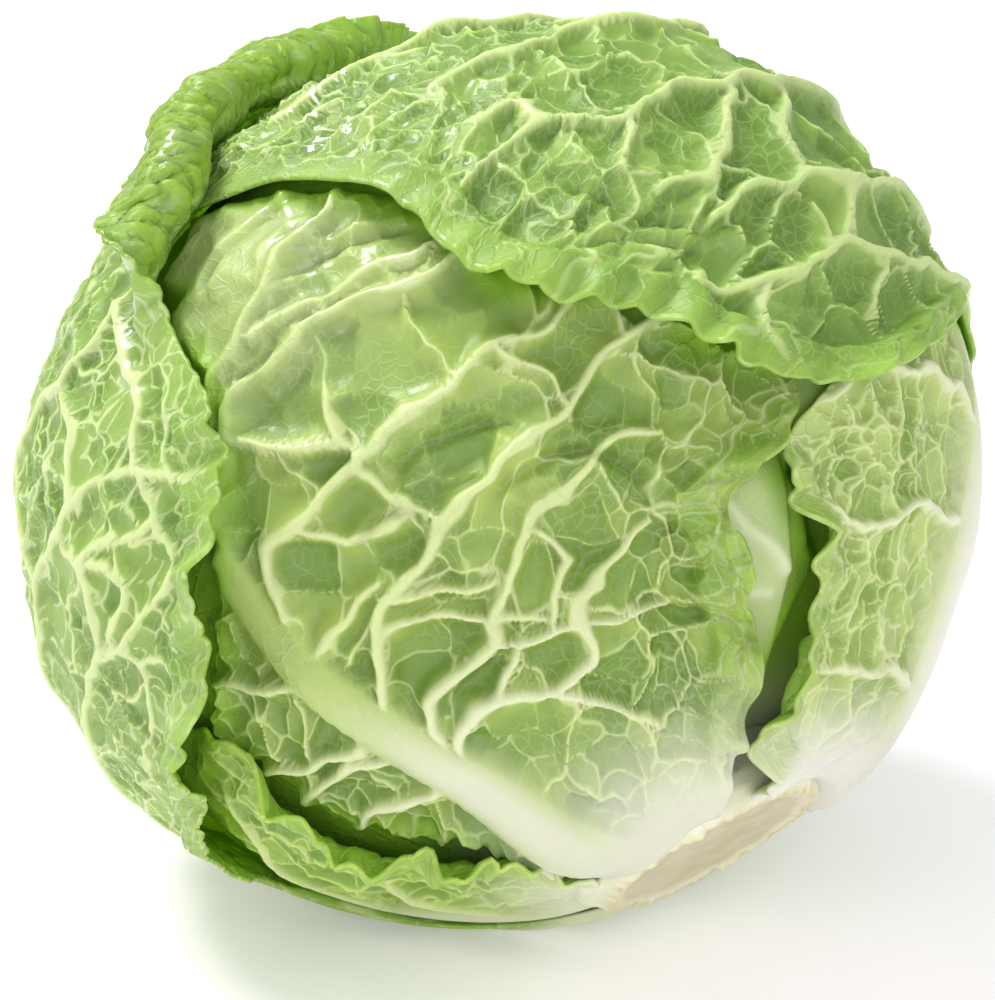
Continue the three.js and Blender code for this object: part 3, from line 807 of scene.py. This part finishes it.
def finished(name, mesh, marks):
    """Turns a bmesh into a smooth object whose vertices carry these marks."""
    bmesh.ops.recalc_face_normals(mesh, faces=mesh.faces)
    middle = Vector(HEAD_CENTRE * MM)
    if sum(face.normal.dot(face.calc_center_median() - middle) for face in mesh.faces) < 0:
        bmesh.ops.reverse_faces(mesh, faces=mesh.faces)
    data = bpy.data.meshes.new(name + "_fine")
    mesh.to_mesh(data)
    mesh.free()
    data.shade_smooth()
    for key, values in marks.items():
        data.attributes.new(key, "FLOAT", "POINT").data.foreach_set("value", values.astype(np.float32))
    return linked(name + "_fine", data)


# ---------- one leaf: its relief ----------
def rib_relief(leaf, least_width, x, y):
    """Height of the ribs and twigs, how pale they are, and the distance to the nearest one's side."""
    height = np.zeros(len(x))
    mask = np.zeros(len(x))
    clear = np.full(len(x), np.inf)
    wide, narrow, tall = leaf["rib"]
    wound = wandered(leaf, x, y, RIB_WANDER)
    lines = [(line, 1) for line in leaf["ribs"]] + [(line, TWIG_SIZE) for line in leaf["twigs"]]
    for line, size in lines:
        away, along = near_line(line, *wound)
        width = np.maximum(mix(wide, narrow, along) * size, least_width)
        width *= mix(RIB_TIP, 1, smooth(1, RIB_END, along))
        ridge = sum(share * bell(away / width, spread) for share, spread in RIB_SECTION)
        taper = 1 - RIB_TAPER * along
        height = np.maximum(height, tall * size * taper * ridge)
        mask = np.maximum(mask, bell(away / width, CREST) * taper)
        clear = np.minimum(clear, away - RIB_HOLD * width)
    return height, mask, clear


def calm_of(leaf, x, y):
    """How far the coarse and the fine net are smoothed out at each point."""
    calm = np.zeros((2, len(x)))
    for *where, coarse, fine in leaf["calm"]:
        calm = np.maximum(calm, np.outer((coarse, fine), spot(x, y, *where)))
    return calm


def pocket_relief(leaf, borders, sizes, chances, calm, turned):
    """Depth of the pockets between the veins, or height of the bubbles where the hem is rolled."""
    pocket = 0
    bubble = 0
    for k, (border, size) in enumerate(zip(borders, sizes)):
        bowl = 1 - (1 - np.minimum(1, border / (BOWL * size))) ** 2
        depth = leaf["pockets"] * POCKET_DEEP[k] * size * mix(SHALLOWEST, 1, chances[k]) * bowl
        pocket = pocket + depth * (1 - calm[k])
        bubble = bubble + BUBBLE_HIGH[k] * size * np.sqrt(bowl)
    pocket = DEEPEST * np.tanh(pocket / DEEPEST)
    return mix(pocket, bubble, smooth(*BUBBLE_FADE, turned))


def fold_relief(leaf, x, y):
    """Height of the folds: a groove with a soft bank on both sides."""
    fold = np.zeros(len(x))
    for line in leaf["folds"]:
        away, along = near_line(line, x, y)
        taper = np.minimum(1, FOLD_TAPER * along * (1 - along))
        bank = FOLD_BANK * bell(away / FOLD_WIDE, FOLD_BANK_WIDE)
        groove = (bank - FOLD_DEEP * bell(away, FOLD_WIDE)) * taper
        fold = np.where(np.abs(groove) > np.abs(fold), groove, fold)
    return fold


def make_leaf(leaf, outer):
    cells = leaf["cells"]
    mesh, angle, share = leaf_grid(cells, leaf["crowd"])
    calm_reach = np.mean([np.roll(leaf["reach"], k) for k in range(-2, 3)], axis=0)
    rim = reach_of(leaf, angle)
    distance = share * mix(by_clock(calm_reach, angle), rim, share**CALM_POWER)
    x = distance * np.sin(angle)
    y = distance * np.cos(angle)
    nets = [net_seeds(leaf, scale) for scale in (COARSE, FINE)]
    rib_away = np.min([near_line(line, x, y)[0] for line in leaf["ribs"]], axis=0)
    free = (share < RIM_STEADY) & (rib_away > RIB_CLEAR) & (by_clock(leaf["turn"], angle) < STEADY_TURN)
    x, y = onto_veins(leaf, nets, free, CATCH * 2 * rim / cells, x, y)
    angle = np.arctan2(x, y)
    distance = np.where(share >= 1 - TINY, rim, np.hypot(x, y))
    place, normal, direction, loose, turned = blade_points(leaf, outer, angle, distance)

    # Distances to the veins, counted from the side of a rib where that is nearer.
    borders, sizes, chances = cells_at(leaf, nets, x, y)
    rib_height, rib_mask, rib_side = rib_relief(leaf, LEAST_RIB * 2 * rim / cells, x, y)
    away, along = near_line(leaf["midrib"]["line"], x, y)
    wide = mix(*leaf["midrib"]["width"], along)
    midrib = np.exp(-((away / wide) ** MIDRIB_POWER))
    side = np.maximum(0, np.minimum(rib_side, away - wide))
    borders = [np.minimum(border, side) for border in borders]
    calm = calm_of(leaf, x, y)
    pocket = pocket_relief(leaf, borders, sizes, chances, calm, turned)

    # Where each kind of relief is allowed.
    from_stem = degrees_from(direction, STEM)
    base = smooth(*NET_FADE, from_stem + ripple(x, y, *NET_EDGE, leaf["seed"] + 2))
    bare = 1 - covered(outer, direction)
    pressed = smooth(*FLAT_FADE, PLANE_RADIUS * DEG * degrees_from(direction, DOWN))
    inside = smooth(*RIM_FADE, share)
    open_net = bare * pressed * base * inside * (1 - smooth(*MIDRIB_NO_NET, midrib))
    outward = smooth(*OUTWARD_LOOSE, loose) * smooth(*OUTWARD_TURNED, turned)
    beside = 1 - smooth(*MIDRIB_NO_RIB, midrib)

    from_rim = rim - distance
    pocket *= mix(EDGE_SHALLOW, 1, np.maximum(smooth(*EDGE_FADE, from_rim), smooth(*EDGE_TURNED, turned)))
    height = pocket * open_net * mix(-1, OUTWARD_HIGH, outward)
    ridges = np.maximum(mix(*leaf["midrib"]["height"], along) * midrib, rib_height * base * beside)
    height += ridges * bare * pressed * inside
    fold = fold_relief(leaf, x, y)
    for *where, rise in leaf["puffs"]:
        fold += rise * base * spot(x, y, *where)
    height += fold * bare * inside
    height += ripple(x, y, *SWELL, leaf["seed"] + 3) * bare * pressed * inside
    raised = smooth(*BASE_RISE, from_stem) * smooth(*BASE_FALL, from_stem)
    height += leaf["lift"] * raised * bare**2
    place -= direction * (TUCK * (1 - bare) * (1 - loose))[:, None]
    place += normal * height[:, None]
    place[:, 2] = np.maximum(place[:, 2], -HEAD_Z)
    set_places(mesh, place)
    join_veins(mesh, np.minimum(*borders) < ON_VEIN)
    lay_uv(mesh, x, y)

    # Painted light: the leaf paler in its round spots listed as light, where light falls on it.
    light = np.zeros(len(x))
    for *where, amount in leaf["light"]:
        light += amount * spot(x, y, *where)
    marks = dict(
        vein=borders[0] + calm[0] + 2 * midrib,
        twig=borders[1] + calm[1] + 2 * midrib,
        rib=rib_mask * base * beside,
        midrib=midrib,
        tint_and_shade=chances[1],
        stem=from_stem,
        rolled=turned,
        margin=smooth(*MARGIN_FADE, from_rim) * loose,
        # painted shade: pockets between the veins darker the deeper they sink
        painted_shade=open_net * pocket / DEEPEST,
        light=light,
        # painted light: green light painted on the crevices near and under the outer leaves' margins
        crevice_light=covered(outer, direction, CREVICE_LIGHT_NEAR),
    )
    piece = finished(leaf["name"], mesh, marks)
    solid = piece.modifiers.new("Thickness", "SOLIDIFY")
    solid.thickness = BLADE_THICKNESS * MM
    solid.offset = -1
    return piece


# ---------- the tight inner head and the stump ----------
def ball(u_segments, v_segments):
    """A ball's mesh, and where its vertices are."""
    mesh = bmesh.new()
    bmesh.ops.create_uvsphere(mesh, u_segments=u_segments, v_segments=v_segments, radius=1)
    return mesh, np.array([vertex.co for vertex in mesh.verts])


def make_heart():
    """The wrapped leaves inside, with its finest rows and one leaf's edge in the bare window."""
    mesh, points = ball(*HEART_ROWS)
    sheet = make_sheet(*HEART_WINDOW)
    away = math.pi * (np.arccos(np.clip(points[:, 2], -1, 1)) / math.pi) ** HEART_CROWD
    angle = np.arctan2(points[:, 0], points[:, 1])
    direction = on_sheet(sheet, PLANE_RADIUS * away * np.sin(angle), PLANE_RADIUS * away * np.cos(angle))
    x, y = from_head(sheet, direction)
    bare = 1 - covered(LEAVES, direction, HEART_FURTHER)
    edge_x, edge_y = np.array(HEART_EDGE, float).T
    before, after = HEART_EDGE_ENDS
    over = smooth(*HEART_STEP_FADE, x - np.interp(y, edge_y, edge_x))
    over = over * smooth(edge_y[0] - before, edge_y[0], y)
    over = over * smooth(edge_y[-1] + after, edge_y[-1], y)
    ribs = np.zeros(len(x))
    for line, tall, wide in HEART_RIBS:
        ribs = np.maximum(ribs, tall * bell(near_line(line, x, y)[0], wide))
    rise = HEART_RISE + ribs + HEART_STEP * over + ripple(x, y, *HEART_WAVE, seed=41)
    radius = head_radius(direction) + HEART_LEVEL + rise * bare
    radius -= HEART_TUCK * (1 - bare)
    set_places(mesh, direction * radius[:, None])
    lay_uv(mesh, x, y)
    zero = np.zeros(len(x))
    # Painted shade: on the heart beyond the edge of the leaf lying over it, darker still towards the stem;
    # and painted green light in the crevices under the leaves.
    marks = dict(
        vein=zero + OFF_VEIN, twig=zero + OFF_VEIN, rib=ribs, midrib=zero, tint_and_shade=1 - over,
        stem=degrees_from(direction, STEM), rolled=zero, margin=zero,
        painted_shade=(1 - over) * smooth(*HEART_SHADE_FADE, y), crevice_light=covered(LEAVES, direction, CREVICE_LIGHT_NEAR),
    )
    return finished("heart", mesh, marks)


def make_stump():
    """The cut stem: a turned section with a fibrous rim round its face."""
    mesh, points = ball(*STUMP_ROWS)
    outline = np.array(STUMP_OUTLINE, float)
    lengths = np.concatenate([[0], np.cumsum(np.hypot(*np.diff(outline, axis=0).T))])
    run = np.arccos(np.clip(-points[:, 2], -1, 1)) / math.pi * lengths[-1]
    radius = np.interp(run, lengths, outline[:, 0])
    height = np.interp(run, lengths, outline[:, 1])
    angle = np.arctan2(points[:, 1], points[:, 0])

    def waves(around, length, seed):
        return ripple(around * np.cos(angle), around * np.sin(angle), 1, length, seed)

    near_rim = bell(radius - RIM_RADIUS, RIM_WIDTH) * smooth(*RIM_BELOW, height)
    teeth = waves(around=20, length=6, seed=31)
    fibres = waves(around=60, length=5, seed=32)
    height += near_rim * (RIM_TEETH * teeth + RIM_FIBRES * fibres)
    radius += near_rim * RIM_WAVE * waves(around=20, length=9, seed=33)
    face = smooth(*FACE_BELOW, height) * smooth(*FACE_INSIDE, radius)
    height += face * FACE_WAVE * waves(around=radius, length=7, seed=34)
    side = radius[:, None] * (FRONT * np.cos(angle)[:, None] + SIDE * np.sin(angle)[:, None])
    set_places(mesh, side + STEM * (STUMP_FACE + height)[:, None])
    return finished("stump", mesh, dict(rim=near_rim**3, face=face, fibre=fibres * 0.5 + 0.5))


# ---------- finishes ----------
def linear(code):
    """A colour written as #rrggbb, as the plain light values a shader takes."""
    parts = [int(code[k:k + 2], 16) / 255 for k in (1, 3, 5)]
    return [p / 12.92 if p <= 0.04045 else ((p + 0.055) / 1.055) ** 2.4 for p in parts] + [1]


class Nodes:
    """Places nodes in a tree in rows, and joins them."""

    def __init__(self, tree):
        self.tree = tree
        self.count = 0

    def add(self, kind, settings=None, **inputs):
        node = self.tree.nodes.new(kind)
        node.location = (self.count % 8 * 220, -(self.count // 8) * 320)
        self.count += 1
        for key, value in (settings or {}).items():
            setattr(node, key, value)
        for key, value in inputs.items():
            self.feed(node, key.replace("_", " "), value)
        return node

    def feed(self, node, key, value):
        """Joins or sets one input; a text is a colour's code."""
        if isinstance(value, bpy.types.NodeSocket):
            self.tree.links.new(value, node.inputs[key])
        else:
            node.inputs[key].default_value = linear(value) if isinstance(value, str) else value

    def fill(self, node, *values):
        for k, value in enumerate(values):
            self.feed(node, k, value)
        return node.outputs[0]

    def math(self, operation, first, second):
        return self.fill(self.add("ShaderNodeMath", dict(operation=operation)), first, second)

    def times(self, first, second):
        return self.math("MULTIPLY", first, second)

    def plus(self, first, second):
        return self.math("ADD", first, second)

    def most(self, first, second):
        return self.math("MAXIMUM", first, second)

    def less(self, first, second):
        return self.math("SUBTRACT", first, second)

    def ease(self, value, low, high, start=0.0, end=1.0):
        node = self.add("ShaderNodeMapRange", dict(interpolation_type="SMOOTHSTEP"))
        return self.fill(node, value, low, high, start, end)

    def blend(self, share, first, second, how="MIX"):
        node = self.add("ShaderNodeMix", dict(data_type="RGBA", blend_type=how))
        for k, part in ((0, share), (6, first), (7, second)):
            self.feed(node, k, part)
        return node.outputs[2]

    def mark(self, name):
        return self.add("ShaderNodeAttribute", dict(attribute_name=name)).outputs["Fac"]

    def noise(self, place, scale, detail):
        return self.add("ShaderNodeTexNoise", Vector=place, Scale=scale, Detail=detail).outputs

    def tiles(self, feature, place, scale):
        settings = dict(feature=feature, voronoi_dimensions="2D")
        return self.add("ShaderNodeTexVoronoi", settings, Vector=place, Scale=scale).outputs[0]

    def skin(self, **inputs):
        skin = self.add("ShaderNodeBsdfPrincipled", **inputs)
        self.add("ShaderNodeOutputMaterial", Surface=skin.outputs[0])


def new_material(name):
    material = bpy.data.materials.new(name)
    material.use_nodes = True
    material.node_tree.nodes.clear()
    return material, Nodes(material.node_tree)


# The dark cell colour serves both random tone and painted shade.
LEAF_COLOURS = ("Cell", "Deep cell", "Vein", "Stem end", "Rolled")
LEAF_NUMBERS = {
    "Stem start": 20.0, "Stem full": 60.0, "Rib end": 80.0,
    "Vein share": 0.75, "Fine share": 0.2, "Midrib share": 0.25,
}
CREVICE_LIGHT_GREEN = "#8fc22c"  # painted light: the green of the light that comes through the leaves into crevices, painted under and near an outer leaf's margin
VALLEY_SHADE = "#a3b87e"  # painted shade: what a rolled hem's colour is multiplied by in the creases between its bubbles

# Where a mark or a pattern begins to tell and is full, and how much it then counts.
WEB_FADE = (0.02, 0.14)
CLOUD_FADE = (0.35, 0.65)
VEIN_FADE = (0.05, 0.75)
TWIG_FADE = (0.03, 0.5)
TWIG_PALE = 0.75
SHADE_FADE = (0.45, 1.2)
CLOUD_DARK = 0.9
TINT_AND_SHADE_DARK = 0.35
PAINTED_SHADE_DARK = 0.6
RIB_PALE = 0.85
ROLLED_MARK = (25, 95)
MARGIN_ROLLED = 0.45
VEIN_SPARED = 0.2
VALLEY_SHADE_SHARE = 0.7
CREVICE_LIGHT_SHARE = 0.8
BONE_PALE = 0.85
VEIN_HIGH = 0.5
FINE_HIGH = 0.16
SPECK_HIGH = 0.12
PALE_SMOOTH = 0.8
SPECK_FADE = (0.2, 0.8)
LEAF_ROUGH = (0.4, 0.52)
WET_LEFT = (0.02, -0.04)
WET_UP = (0.1, 0.14)
WET_PATCH = (0.48, 0.6)
CUT_CLOUD_FADE = (0.35, 0.7)
CUT_CLOUD_HIGH = 0.8
CUT_SPECK_HIGH = 0.5
RIM_SHARE = 0.9


def leaf_group():
    """Leaf colour, roughness and relief from the marks that the vertices carry."""
    group = bpy.data.node_groups.new("Leaf finish", "ShaderNodeTree")
    for name in LEAF_COLOURS:
        group.interface.new_socket(name, in_out="INPUT", socket_type="NodeSocketColor")
    for name, value in LEAF_NUMBERS.items():
        socket = group.interface.new_socket(name, in_out="INPUT", socket_type="NodeSocketFloat")
        socket.default_value = value
    for name, kind in (("Color", "Color"), ("Roughness", "Float"), ("Height", "Float")):
        group.interface.new_socket(name, in_out="OUTPUT", socket_type="NodeSocket" + kind)
    nodes = Nodes(group)
    given = nodes.add("NodeGroupInput").outputs
    place = nodes.add("ShaderNodeTexCoord").outputs
    cloud = nodes.noise(place["Object"], CLOUD_SCALE, 3)[0]
    speck = nodes.noise(place["Object"], SPECK_SCALE, 2)[0]
    wander = nodes.add("ShaderNodeVectorMath", dict(operation="MULTIPLY_ADD"))
    wander = nodes.fill(wander, nodes.noise(place["UV"], BEND_SCALE, 1)[1], (BEND, BEND, 0), place["UV"])
    web = nodes.tiles("DISTANCE_TO_EDGE", wander, FINE_SCALE)
    fine = nodes.times(nodes.ease(web, *WEB_FADE, 1, 0), nodes.ease(cloud, *CLOUD_FADE))
    vein = nodes.most(
        nodes.ease(nodes.mark("vein"), *VEIN_FADE, 1, 0),
        nodes.ease(nodes.mark("twig"), *TWIG_FADE, TWIG_PALE, 0),
    )
    rolled = nodes.ease(nodes.mark("rolled"), *ROLLED_MARK)
    stem = nodes.mark("stem")
    pale = nodes.ease(stem, given["Stem start"], given["Stem full"], 1, 0)
    bone = nodes.most(nodes.mark("rib"), nodes.mark("midrib"))
    reach = nodes.times(bone, nodes.ease(stem, given["Stem full"], given["Rib end"], BONE_PALE, 0))
    pale = nodes.most(pale, reach)

    # The cells darken with random tone from the cloud and, on the leaves, each cell's chance, and with
    # painted shade: in the deeper pockets, and on the heart beyond the overlapping edge and towards the
    # stem.
    shade = nodes.plus(nodes.times(cloud, CLOUD_DARK), nodes.times(nodes.mark("tint_and_shade"), TINT_AND_SHADE_DARK))
    shade = nodes.plus(shade, nodes.times(nodes.mark("painted_shade"), PAINTED_SHADE_DARK))
    colour = nodes.blend(nodes.ease(shade, *SHADE_FADE), given["Cell"], given["Deep cell"])
    # Painted light: paler towards the vein colour in the lit spots.
    colour = nodes.blend(nodes.mark("light"), colour, given["Vein"])
    net = nodes.most(nodes.times(vein, given["Vein share"]), nodes.times(fine, given["Fine share"]))
    colour = nodes.blend(net, colour, given["Vein"])
    rib = nodes.most(nodes.mark("rib"), nodes.times(nodes.mark("midrib"), given["Midrib share"]))
    colour = nodes.blend(nodes.times(rib, RIB_PALE), colour, given["Vein"])
    dark = nodes.most(rolled, nodes.times(nodes.mark("margin"), MARGIN_ROLLED))
    dark = nodes.times(dark, nodes.less(1, nodes.times(vein, VEIN_SPARED)))
    colour = nodes.blend(dark, colour, given["Rolled"])
    # Painted shade: a rolled hem darker in the creases along its veins, between its bubbles.
    valley_shade = nodes.times(rolled, nodes.times(vein, VALLEY_SHADE_SHARE))
    colour = nodes.blend(valley_shade, colour, VALLEY_SHADE, "MULTIPLY")
    # Painted light: the green of light through the leaves, painted into the crevices under and near the
    # outer leaves' margins.
    colour = nodes.blend(nodes.times(nodes.mark("crevice_light"), CREVICE_LIGHT_SHARE), colour, CREVICE_LIGHT_GREEN)
    colour = nodes.blend(pale, colour, given["Stem end"])

    height = nodes.plus(nodes.times(vein, VEIN_HIGH), nodes.times(fine, FINE_HIGH))
    height = nodes.plus(height, nodes.times(speck, SPECK_HIGH))
    bead = nodes.times(nodes.tiles("F1", wander, BEAD_SCALE), BEAD_DEEP)
    height = nodes.less(height, nodes.times(rolled, bead))
    height = nodes.times(height, nodes.less(1, nodes.times(pale, PALE_SMOOTH)))
    nodes.add(
        "NodeGroupOutput", Color=colour, Height=height,
        Roughness=nodes.ease(speck, *SPECK_FADE, *LEAF_ROUGH),
    )
    return group


def leaf_material(name, group, codes, **numbers):
    material, nodes = new_material(name)
    leaf = nodes.add("ShaderNodeGroup", dict(node_tree=group))
    for key, code in zip(LEAF_COLOURS, codes):
        nodes.feed(leaf, key, code)
    for key, value in numbers.items():
        nodes.feed(leaf, key.replace("_", " ").capitalize(), value)
    bump = nodes.add("ShaderNodeBump", Strength=0.75, Distance=0.0006, Height=leaf.outputs["Height"])
    place = nodes.add("ShaderNodeTexCoord").outputs["Object"]
    x, _, z = nodes.add("ShaderNodeSeparateXYZ", Vector=place).outputs
    upper = nodes.times(nodes.ease(x, *WET_LEFT), nodes.ease(z, *WET_UP))
    wet = nodes.times(upper, nodes.ease(nodes.noise(place, WET_SCALE, 2)[0], *WET_PATCH))
    nodes.skin(
        Base_Color=leaf.outputs["Color"], Roughness=leaf.outputs["Roughness"], Normal=bump.outputs[0],
        Coat_Weight=wet, Coat_Roughness=0.12, Specular_IOR_Level=0.42,
        Subsurface_Weight=0.45, Subsurface_Radius=(0.7, 1.0, 0.25), Subsurface_Scale=0.005,
    )
    return material


def stump_material():
    material, nodes = new_material("Cut stump")
    place = nodes.add("ShaderNodeTexCoord").outputs["Object"]
    cloud = nodes.noise(place, CUT_CLOUD_SCALE, 4)[0]
    speck = nodes.noise(place, CUT_SPECK_SCALE, 3)[0]
    side = nodes.blend(nodes.ease(cloud, *CLOUD_FADE), "#dcdccb", "#d0d3b2")
    cut = nodes.blend(nodes.ease(cloud, *CUT_CLOUD_FADE), "#bfb99b", "#b4ad8a")
    bark = nodes.blend(nodes.mark("fibre"), "#b9ae7c", "#d2caa0")
    colour = nodes.blend(nodes.mark("face"), side, cut)
    colour = nodes.blend(nodes.times(nodes.mark("rim"), RIM_SHARE), colour, bark)
    height = nodes.plus(nodes.times(speck, CUT_SPECK_HIGH), nodes.times(cloud, CUT_CLOUD_HIGH))
    bump = nodes.add("ShaderNodeBump", Strength=0.6, Distance=0.0006, Height=height)
    nodes.skin(
        Base_Color=colour, Roughness=0.62, Normal=bump.outputs[0],
        Subsurface_Weight=0.25, Subsurface_Radius=(1.0, 0.85, 0.5), Subsurface_Scale=0.003,
    )
    return material


# ---------- the object ----------
PALE = ("#9ab257", "#6a8934", "#bccb8f", "#cad0b6", "#7c9a34")
LIGHT = ("#a6bd69", "#7b9842", "#c2d193", "#d4d7c4", "#7c9a34")
GREEN = ("#8aa84e", "#61842e", "#bbcd8c", "#d3dab8", "#7c9a34")
BRIGHT = ("#93b148", "#6d9232", "#b6cb74", "#d3dab8", "#8fae3c")
HEART = ("#b1c285", "#8ea559", "#c6d3a2", "#ced5b4", "#8ea559")
USUAL = dict(stem_start=14, stem_full=36)

group = leaf_group()
pale = leaf_material("Pale leaf", group, PALE, stem_start=20, stem_full=42, rib_end=66)
right = leaf_material("Right leaf", group, LIGHT, stem_start=18, stem_full=34, rib_end=140, midrib_share=1)
green = leaf_material("Green leaf", group, GREEN, vein_share=0.6, **USUAL)
veined = leaf_material("Veined leaf", group, GREEN, vein_share=1, fine_share=0.35, **USUAL)
bright = leaf_material("Bright leaf", group, BRIGHT, vein_share=0.85, **USUAL)
heart_skin = leaf_material("Heart", group, HEART, fine_share=0.1, **USUAL)
SLOTS = dict(
    leaf_front=("leaf_pale", pale),
    leaf_right=("leaf_pale", right),
    leaf_bottom=("leaf_green", bright),
    leaf_top=("leaf_green", green),
    leaf_left=("leaf_green", veined),
)


def place_piece(piece, node, slot, material):
    piece.data.materials.append(material)
    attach(piece, "root")
    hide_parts(node)


for index, leaf in enumerate(LEAVES):
    place_piece(make_leaf(leaf, LEAVES[index + 1:]), leaf["name"], *SLOTS[leaf["name"]])
place_piece(make_heart(), "heart", "heart", heart_skin)
place_piece(make_stump(), "stump", "stump", stump_material())


# ---------- floor, light and camera, in metres and watts ----------
FLOOR_HALF = 6
FLOOR_SHADE = (0.93, 0.89, 0.94, 1)
FLOOR_GLOW = 0.2
WHITE = (1, 1, 1, 1)
SKY_POWER = 0.62
CAMERA_PLACE = (-0.00053, -0.59326, 0.29227)
CAMERA_TILT = 70
CAMERA_LENS = 120
CAMERA_SENSOR = 36


def area_light(name, place, aim, size, power):
    data = bpy.data.lights.new(name, "AREA")
    data.shape = "DISK"
    data.size = size
    data.energy = power
    light = linked(name, data)
    light.location = place
    light.rotation_euler = (Vector(aim) - Vector(place)).to_track_quat("-Z", "Y").to_euler()


floor_mesh = bmesh.new()
bmesh.ops.create_grid(floor_mesh, x_segments=1, y_segments=1, size=FLOOR_HALF)
floor_data = bpy.data.meshes.new("Floor")
floor_mesh.to_mesh(floor_data)
floor_mesh.free()
floor = linked("Floor", floor_data)
floor_white, nodes = new_material("Floor white")
nodes.skin(Base_Color=FLOOR_SHADE, Roughness=0.9, Emission_Color=WHITE, Emission_Strength=FLOOR_GLOW)
floor.data.materials.append(floor_white)

area_light("Key", place=(-0.55, 0.15, 1.2), aim=(0, 0, 0.09), size=0.6, power=17.3)
area_light("Front", place=(0.7, -1.2, 0.9), aim=(0, 0, 0.09), size=1.2, power=9)
area_light("Fill", place=(-0.25, -1.3, 0.35), aim=(0, 0, 0.08), size=0.6, power=3)

scene = bpy.context.scene
scene.world = bpy.data.worlds.new("Studio")
scene.world.use_nodes = True
sky = scene.world.node_tree.nodes["Background"]
sky.inputs["Color"].default_value = WHITE
sky.inputs["Strength"].default_value = SKY_POWER
scene.view_settings.view_transform = "Standard"

camera_data = bpy.data.cameras.new("Camera")
camera_data.lens = CAMERA_LENS
camera_data.sensor_width = CAMERA_SENSOR
camera_data.dof.use_dof = False
camera = linked("Camera", camera_data)
camera.location = CAMERA_PLACE
camera.rotation_euler = (CAMERA_TILT * DEG, 0, 0)
scene.camera = camera
